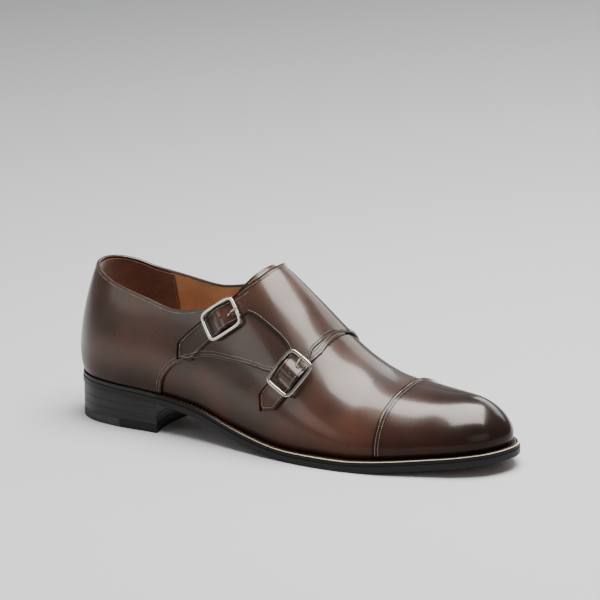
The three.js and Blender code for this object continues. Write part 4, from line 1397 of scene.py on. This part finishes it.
def welt_surface(at, side, row_share, top):
    """The strip's upper or under face: row_share 0 at its edge, 1 under the upper."""
    station = station_of(at)
    x, turn = ray(station)
    inside = margin(x) + WALL - WELT_INSET
    inset = np.interp(row_share * WELT_ROWS, np.arange(WELT_ROWS + 1), WELT_KNOTS)
    inset = np.minimum(inset, inside) + WELT_INSET
    far = sole_reach(station, side) - inset
    px, py = x + far * np.cos(turn), spine(x) + side * far * np.sin(turn)
    pressed = 0.3 * np.exp(-(((inset - WELT_INSET - WELT_STITCH_IN) / 0.35) ** 2))
    high = welt_foot(px) + WELT - pressed
    low = welt_foot(px) - GAP + EDGE_GAP
    return np.stack([px, py, np.where(top > 0.5, high, low)], -1)


def welt_place(u, v, w):
    return welt_surface(round_toe(BREAST, u), np.where(u < 0.5, OUTER, INNER), v, w)


def rand_place(u, v, w):
    return welt_surface((BREAST - 0.05) * np.abs(2 * u - 1), np.where(u < 0.5, INNER, OUTER), v, w)


def rim(u, v):
    return v == 0


welt = sheet("welt_strip", 260, WELT_ROWS, welt_place, cut=rim)
round_edges(welt, 0.32, segments=3)
give(welt, stained_welt(), ["welt"])
rand = sheet("heel_rand", 90, WELT_ROWS, rand_place, cut=rim, rounding=0.3)
give(rand, EDGE_INK, ["seat_rand"])


def on_welt(at, signed_inset):
    """The welt's top, by `at` and the inset from its edge, less than 0 on the outer side."""
    share = np.interp(np.abs(signed_inset), WELT_KNOTS, np.arange(WELT_ROWS + 1)) / WELT_ROWS
    return welt_surface(at, np.where(np.asarray(signed_inset) < 0, OUTER, INNER), share, np.ones_like(share))


def forward_from(start, steps):
    """`at` from a start to the tip of the toe, closer together round the toe."""
    return np.concatenate([np.linspace(start, TOE_AT, steps), np.linspace(TOE_AT, 99.95, 160)[1:]])


def welt_line(side, inset):
    at = forward_from(BREAST + 1.2, 200)
    return np.stack([at, np.full(len(at), side * inset)], 1)


WELT_THREAD = waxed_thread("Waxed_thread_welt", "#a58b6c")
welt_rows = [(on_welt, welt_line(side, WELT_STITCH_IN)) for side in (OUTER, INNER)]
seam("welt_stitches", welt_rows, WELT_THREAD, pitch=2.7, size=(2.1, 0.75, 0.6))
wheel_rows = [(on_welt, welt_line(side, 1.5)) for side in (OUTER, INNER)]
seam("welt_wheel_marks", wheel_rows, EDGE_INK, pitch=1.35, size=(0.5, 1.5, 0.3))


# ---------------------------------------------------------------- outsole
# Oak-bark leather, stained chestnut and waxed underneath, with an inked edge. The stitches lie in a
# channel round the forepart, and a wheel has marked a band across the waist before the heel.
CHANNEL_IN, CHANNEL_DEEP = 5.0, 0.45
CHANNEL_FROM, CHANNEL_FADE = 26, 6  # per cent of the length: where it starts and how soon it is full
SOLE_KNOTS = [  # millimetres in from the edge, and share of the rest of the way to the ridge
    (0, 0), (0.8, 0), (3.9, 0), (4.5, 0), (5, 0), (5.5, 0), (6.1, 0),
    (12, 0), (12, 0.3), (12, 0.65), (12, 1),
]


def sole_leather():
    """Vegetable-tanned bend leather with its grain side down: chestnut stain over short fibres, waxed."""
    material = finish_material("Waxed_chestnut_sole_leather", "#4f2a20", 0.42, Specular_IOR_Level=0.2)
    clouds = ranged(material, noise(material, 40, 3), 0.35, 0.7)
    tone = mixed(material, clouds, "#45241c", "#673a2b")
    streaks = ranged(material, noise(material, 5, 4, (0.25, 1, 1)), 0.4, 0.8, 0, 0.4)
    tone = mixed(material, streaks, tone, "#331913")
    normal = add_node(material, "ShaderNodeNewGeometry").outputs["Normal"]
    down = ranged(material, part_of(material, normal, 2), -0.98, -0.92, 1.0, 0.0)
    joined_to(material, "Base Color", mixed(material, down, INK, tone))
    joined_to(material, "Normal", bumped(material, noise(material, 1.1, 4), 0.08, 0.4))
    return material


def sole_plan(u, v):
    row = v * (len(SOLE_KNOTS) - 1)
    inset, share = (np.interp(row, np.arange(len(SOLE_KNOTS)), knots) for knots in zip(*SOLE_KNOTS))
    x, y = plan_place(sole_reach, u, inset, share)
    return x, y, inset


def sole_place(u, v, w):
    x, y, inset = sole_plan(u, v)
    fore = np.clip((x / PER_CENT - CHANNEL_FROM) / CHANNEL_FADE, 0, 1)
    off = np.abs(inset - CHANNEL_IN)
    channel = CHANNEL_DEEP * fore * (off < 0.6) * (1 - off / 0.9)
    return np.stack([x, y, np.where(w > 0.5, underside(x) + OUTSOLE, underside(x) + channel)], 1)


SOLE_LEATHER = sole_leather()
outsole = sheet("outsole_leather", 260, len(SOLE_KNOTS) - 1, sole_place, folded=ring_folded)
round_edges(outsole, 0.35, segments=3, angle=60)
give(outsole, SOLE_LEATHER, ["outsole"])


def under_sole(at, signed_inset):
    """The outsole's underside, by `at` and the inset from its edge, less than 0 on the outer side."""
    side = np.where(np.asarray(signed_inset) < 0, OUTER, INNER)
    station = station_of(at)
    x, turn = ray(station)
    far = sole_reach(station, side) - np.abs(signed_inset)
    px = x + far * np.cos(turn)
    return np.stack([px, spine(x) + side * far * np.sin(turn), underside(px) + 0.25], -1)


fore_at = forward_from(33, 160)
channel_rows = [
    (under_sole, np.stack([fore_at, np.full(len(fore_at), side * CHANNEL_IN)], 1)) for side in (OUTER, INNER)
]
seam("channel_stitches", channel_rows, WELT_THREAD, pitch=3, size=(2.2, 0.6, 0.5))


def waist(x, y):
    return np.stack([x, y, underside(x)], -1)


WHEEL_BAND = BREAST * PER_CENT + 3
band = np.linspace(-28, 28, 60)
band_line = np.stack([np.full(60, WHEEL_BAND), band], 1)
band_rows = [(waist, band_line)]
seam("waist_wheel_marks", band_rows, SOLE_LEATHER, pitch=1.1, size=(0.55, 2.4, 0.35))


# ---------------------------------------------------------------- heel
# Lifts of leather, glued and nailed, rasped to one slope, inked and waxed, so that their joints show
# as hairlines. The breast is hollowed. The top piece is leather in front and rubber behind.
BREAST_HOLLOW, TOP_PIECE, LIFT, TAPER = 5.5, 5.4, 4.9, -0.023
RUBBER_JOINT_AT, RUBBER_JOINT_SLANT = 38, 0.16
BACK_SHARE = 0.75  # of the way round a lift that goes round its back
HEEL_COLUMNS = 160
HEEL_IN = 0.5  # how far the heel stays inside the edge of the sole
BACK_STEPS, BREAST_STEPS = 241, 81


def heel_loop(z):
    """A lift's outline at a height, as a function of the share of the way round it."""
    drawn_in = TAPER * (HEEL_HEIGHT - z)
    edge = outline(HEEL_IN + drawn_in)
    front = BREAST * PER_CENT - drawn_in
    corner = {side: np.array([front, side * reach(edge, front, 0, 0, side)[0]]) for side in (OUTER, INNER)}
    first, last = (math.atan2(corner[s][1], corner[s][0] - HEEL_CENTRE) for s in (OUTER, INNER))
    turn = np.linspace(first, last - 2 * math.pi, BACK_STEPS)
    far = reach(edge, np.full(BACK_STEPS, HEEL_CENTRE), np.zeros(BACK_STEPS), np.cos(turn), np.sin(turn))
    back = np.stack([HEEL_CENTRE + far * np.cos(turn), far * np.sin(turn)], 1)
    t = np.linspace(0, 1, BREAST_STEPS)
    breast = corner[INNER] + (corner[OUTER] - corner[INNER]) * t[:, None]
    breast[:, 0] -= BREAST_HOLLOW * 4 * t * (1 - t)
    back_shares = np.linspace(0, BACK_SHARE, BACK_STEPS)
    shares = np.concatenate([back_shares, np.linspace(BACK_SHARE, 1, BREAST_STEPS)[1:]])
    line = np.vstack([back, breast[1:]])
    return lambda u: np.stack([np.interp(u, shares, line[:, k]) for k in (0, 1)], 1)


floor_loop, seat_loop = heel_loop(0), heel_loop(HEEL_HEIGHT)
LIFT_KNOTS = [0, 0.04, 0.2, 0.45, 0.7, 1]  # from the edge to the middle of a lift


def lift_place_of(low, high):
    def place(u, v, w):
        z = low + (high - low) * w
        t = (z / HEEL_HEIGHT)[:, None]
        edge = floor_loop(u) * (1 - t) + seat_loop(u) * t
        share = np.interp(v * (len(LIFT_KNOTS) - 1), np.arange(len(LIFT_KNOTS)), LIFT_KNOTS)[:, None]
        spot = edge * (1 - share) + np.array([HEEL_CENTRE, 0]) * share
        return np.stack([*spot.T, np.minimum(z, underside(spot[:, 0]) - EDGE_GAP)], 1)

    return place


def lift(name, low, high):
    made = sheet(name, HEEL_COLUMNS, len(LIFT_KNOTS) - 1, lift_place_of(low, high), folded=ring_folded)
    round_edges(made, 0.16, segments=2, angle=45)
    bpy.ops.object.shade_smooth_by_angle(angle=math.radians(35))
    return made


HAIRLINE = 0.03
foot = TOP_PIECE + GAP
for number in (3, 2):
    stacked = lift(f"stacked_lift_{number}", foot - GAP / 2 + HAIRLINE, foot + LIFT + GAP / 2 - HAIRLINE)
    give(stacked, EDGE_INK, [f"heel_lift_{number}"])
    foot += LIFT + GAP
top_lift = lift("stacked_lift_1", foot - GAP / 2 + HAIRLINE, HEEL_HEIGHT)
give(top_lift, EDGE_INK, ["heel_lift_1"])


def top_piece_rubber():
    """Moulded black rubber with a fine pebbled face, matt."""
    material = finish_material("Black_heel_rubber", "#2b2b2f", 0.7, Specular_IOR_Level=0.4)
    pebble = noise(material, 1.3, 2)
    tone = mixed(material, ranged(material, pebble, 0.3, 0.7), "#252528", "#35353a")
    joined_to(material, "Base Color", tone)
    joined_to(material, "Normal", bumped(material, pebble, 0.15, 0.6))
    return material


def half_of_top_piece(name, keep_front):
    """The whole top piece, cut along the joint, with one side kept."""
    made = lift(name, 0, TOP_PIECE + GAP / 2 - HAIRLINE)
    turn = math.atan(RUBBER_JOINT_SLANT)
    way = (math.cos(turn), math.sin(turn), 0)
    half_gap = 0.04 if keep_front else -0.04
    place = (np.array([RUBBER_JOINT_AT + half_gap, 0, 0]) + ORIGIN) * MM
    bpy.ops.object.mode_set(mode="EDIT")
    bpy.ops.mesh.select_all(action="SELECT")
    bpy.ops.mesh.bisect(
        plane_co=tuple(place), plane_no=way, use_fill=True,
        clear_inner=keep_front, clear_outer=not keep_front,
    )
    bpy.ops.mesh.select_all(action="SELECT")
    bpy.ops.mesh.normals_make_consistent(inside=False)
    bpy.ops.object.mode_set(mode="OBJECT")
    return made


give(half_of_top_piece("top_piece_front", True), SOLE_LEATHER, ["top_piece_leather"])
give(half_of_top_piece("top_piece_rear", False), top_piece_rubber(), ["top_piece_rubber"])

# Brass pins hold the leather half: a row round its outer side and a few on the inner.
BRASS = finish_material("Brass_pin", "#c39a55", 0.3, Metallic=1.0)
pin_tone = mixed(BRASS, ranged(BRASS, noise(BRASS, 2, 2), 0.3, 0.7), "#a98242", "#d6b06b")
joined_to(BRASS, "Base Color", pin_tone)
PIN_IN = 5.0
PIN_PITCH = 4.6


def top_piece_floor(x, y):
    return np.stack([x, y, 0 * x + 0.02], -1)


pin_rows = []
for side, last_x in ((OUTER, 40), (INNER, 52)):
    edge = outline(HEEL_IN + TAPER * HEEL_HEIGHT + PIN_IN)
    xs = np.linspace(BREAST * PER_CENT - 4, last_x, 40)
    ys = np.array([side * reach(edge, x, 0, 0, side)[0] for x in xs])
    pin_rows.append((top_piece_floor, np.stack([xs, ys], 1)))
seam("heel_pins", pin_rows, BRASS, pitch=PIN_PITCH, size=(1.2, 1.2, 0.3))


# ---------------------------------------------------------------- studio
# A pale floor, a large soft box over the shoe, and weaker panels round it. Not part of the shoe.
CAMERA_AZIMUTH, CAMERA_ELEVATION, CAMERA_ROLL = 32.4, 14.47, -1.37
CAMERA_DISTANCE, CAMERA_LENS, CAMERA_SENSOR = 2.1075, 207.26, 36.0
LOOKS_AT = Vector((0.0052, 0.0009, 0.0876))

azimuth, elevation, roll = (math.radians(v) for v in (CAMERA_AZIMUTH, CAMERA_ELEVATION, CAMERA_ROLL))
back = Vector((
    math.sin(azimuth) * math.cos(elevation),
    -math.cos(azimuth) * math.cos(elevation),
    math.sin(elevation),
))
level_right = Vector((math.cos(azimuth), math.sin(azimuth), 0))
level_up = back.cross(level_right)
right = level_right * math.cos(roll) + level_up * math.sin(roll)
up = level_up * math.cos(roll) - level_right * math.sin(roll)
camera = bpy.data.objects.new("camera", bpy.data.cameras.new("camera"))
bpy.context.scene.collection.objects.link(camera)
camera.data.lens = CAMERA_LENS
camera.data.sensor_width = CAMERA_SENSOR
camera.data.clip_end = 50
camera.matrix_world = Matrix((
    (right.x, up.x, back.x, 0),
    (right.y, up.y, back.y, 0),
    (right.z, up.z, back.z, 0),
    (0, 0, 0, 1),
))
camera.location = LOOKS_AT + back * CAMERA_DISTANCE
bpy.context.scene.camera = camera


def soft_box(name, place, aim, width, height, power):
    light = bpy.data.lights.new(name, "AREA")
    light.shape = "RECTANGLE"
    light.size, light.size_y, light.energy = width, height, power
    box = bpy.data.objects.new(name, light)
    bpy.context.scene.collection.objects.link(box)
    box.location = place
    box.rotation_mode = "QUATERNION"
    box.rotation_quaternion = (Vector(place) - Vector(aim)).to_track_quat("Z", "Y")


soft_box("overhead", (0.22, 0.1, 1.3), (0.16, 0.05, 0.03), 1.15, 1.0, 52)
soft_box("left_panel", (-1.3, -1.9, 0.75), (-0.05, 0, 0.05), 1.5, 0.8, 7)
soft_box("right_fill", (1.6, -0.9, 0.7), (0, 0, 0.05), 1.3, 0.8, 4)
soft_box("back_panel", (0.2, 1.6, 1.0), (0, 0, 0.05), 1.4, 0.7, 10)

world = bpy.data.worlds.new("studio")
bpy.context.scene.world = world
world.use_nodes = True
world.node_tree.nodes["Background"].inputs["Color"].default_value = linear("#f3f6f9")
world.node_tree.nodes["Background"].inputs["Strength"].default_value = 0.3

bpy.ops.object.select_all(action="DESELECT")
bpy.ops.mesh.primitive_plane_add(size=16, location=(0, 0, 0))
floor = bpy.context.object
floor.name = "floor"
floor.data.materials.append(finish_material("Pale_paper_floor", "#c4c4c4", 0.6, Specular_IOR_Level=0.2))
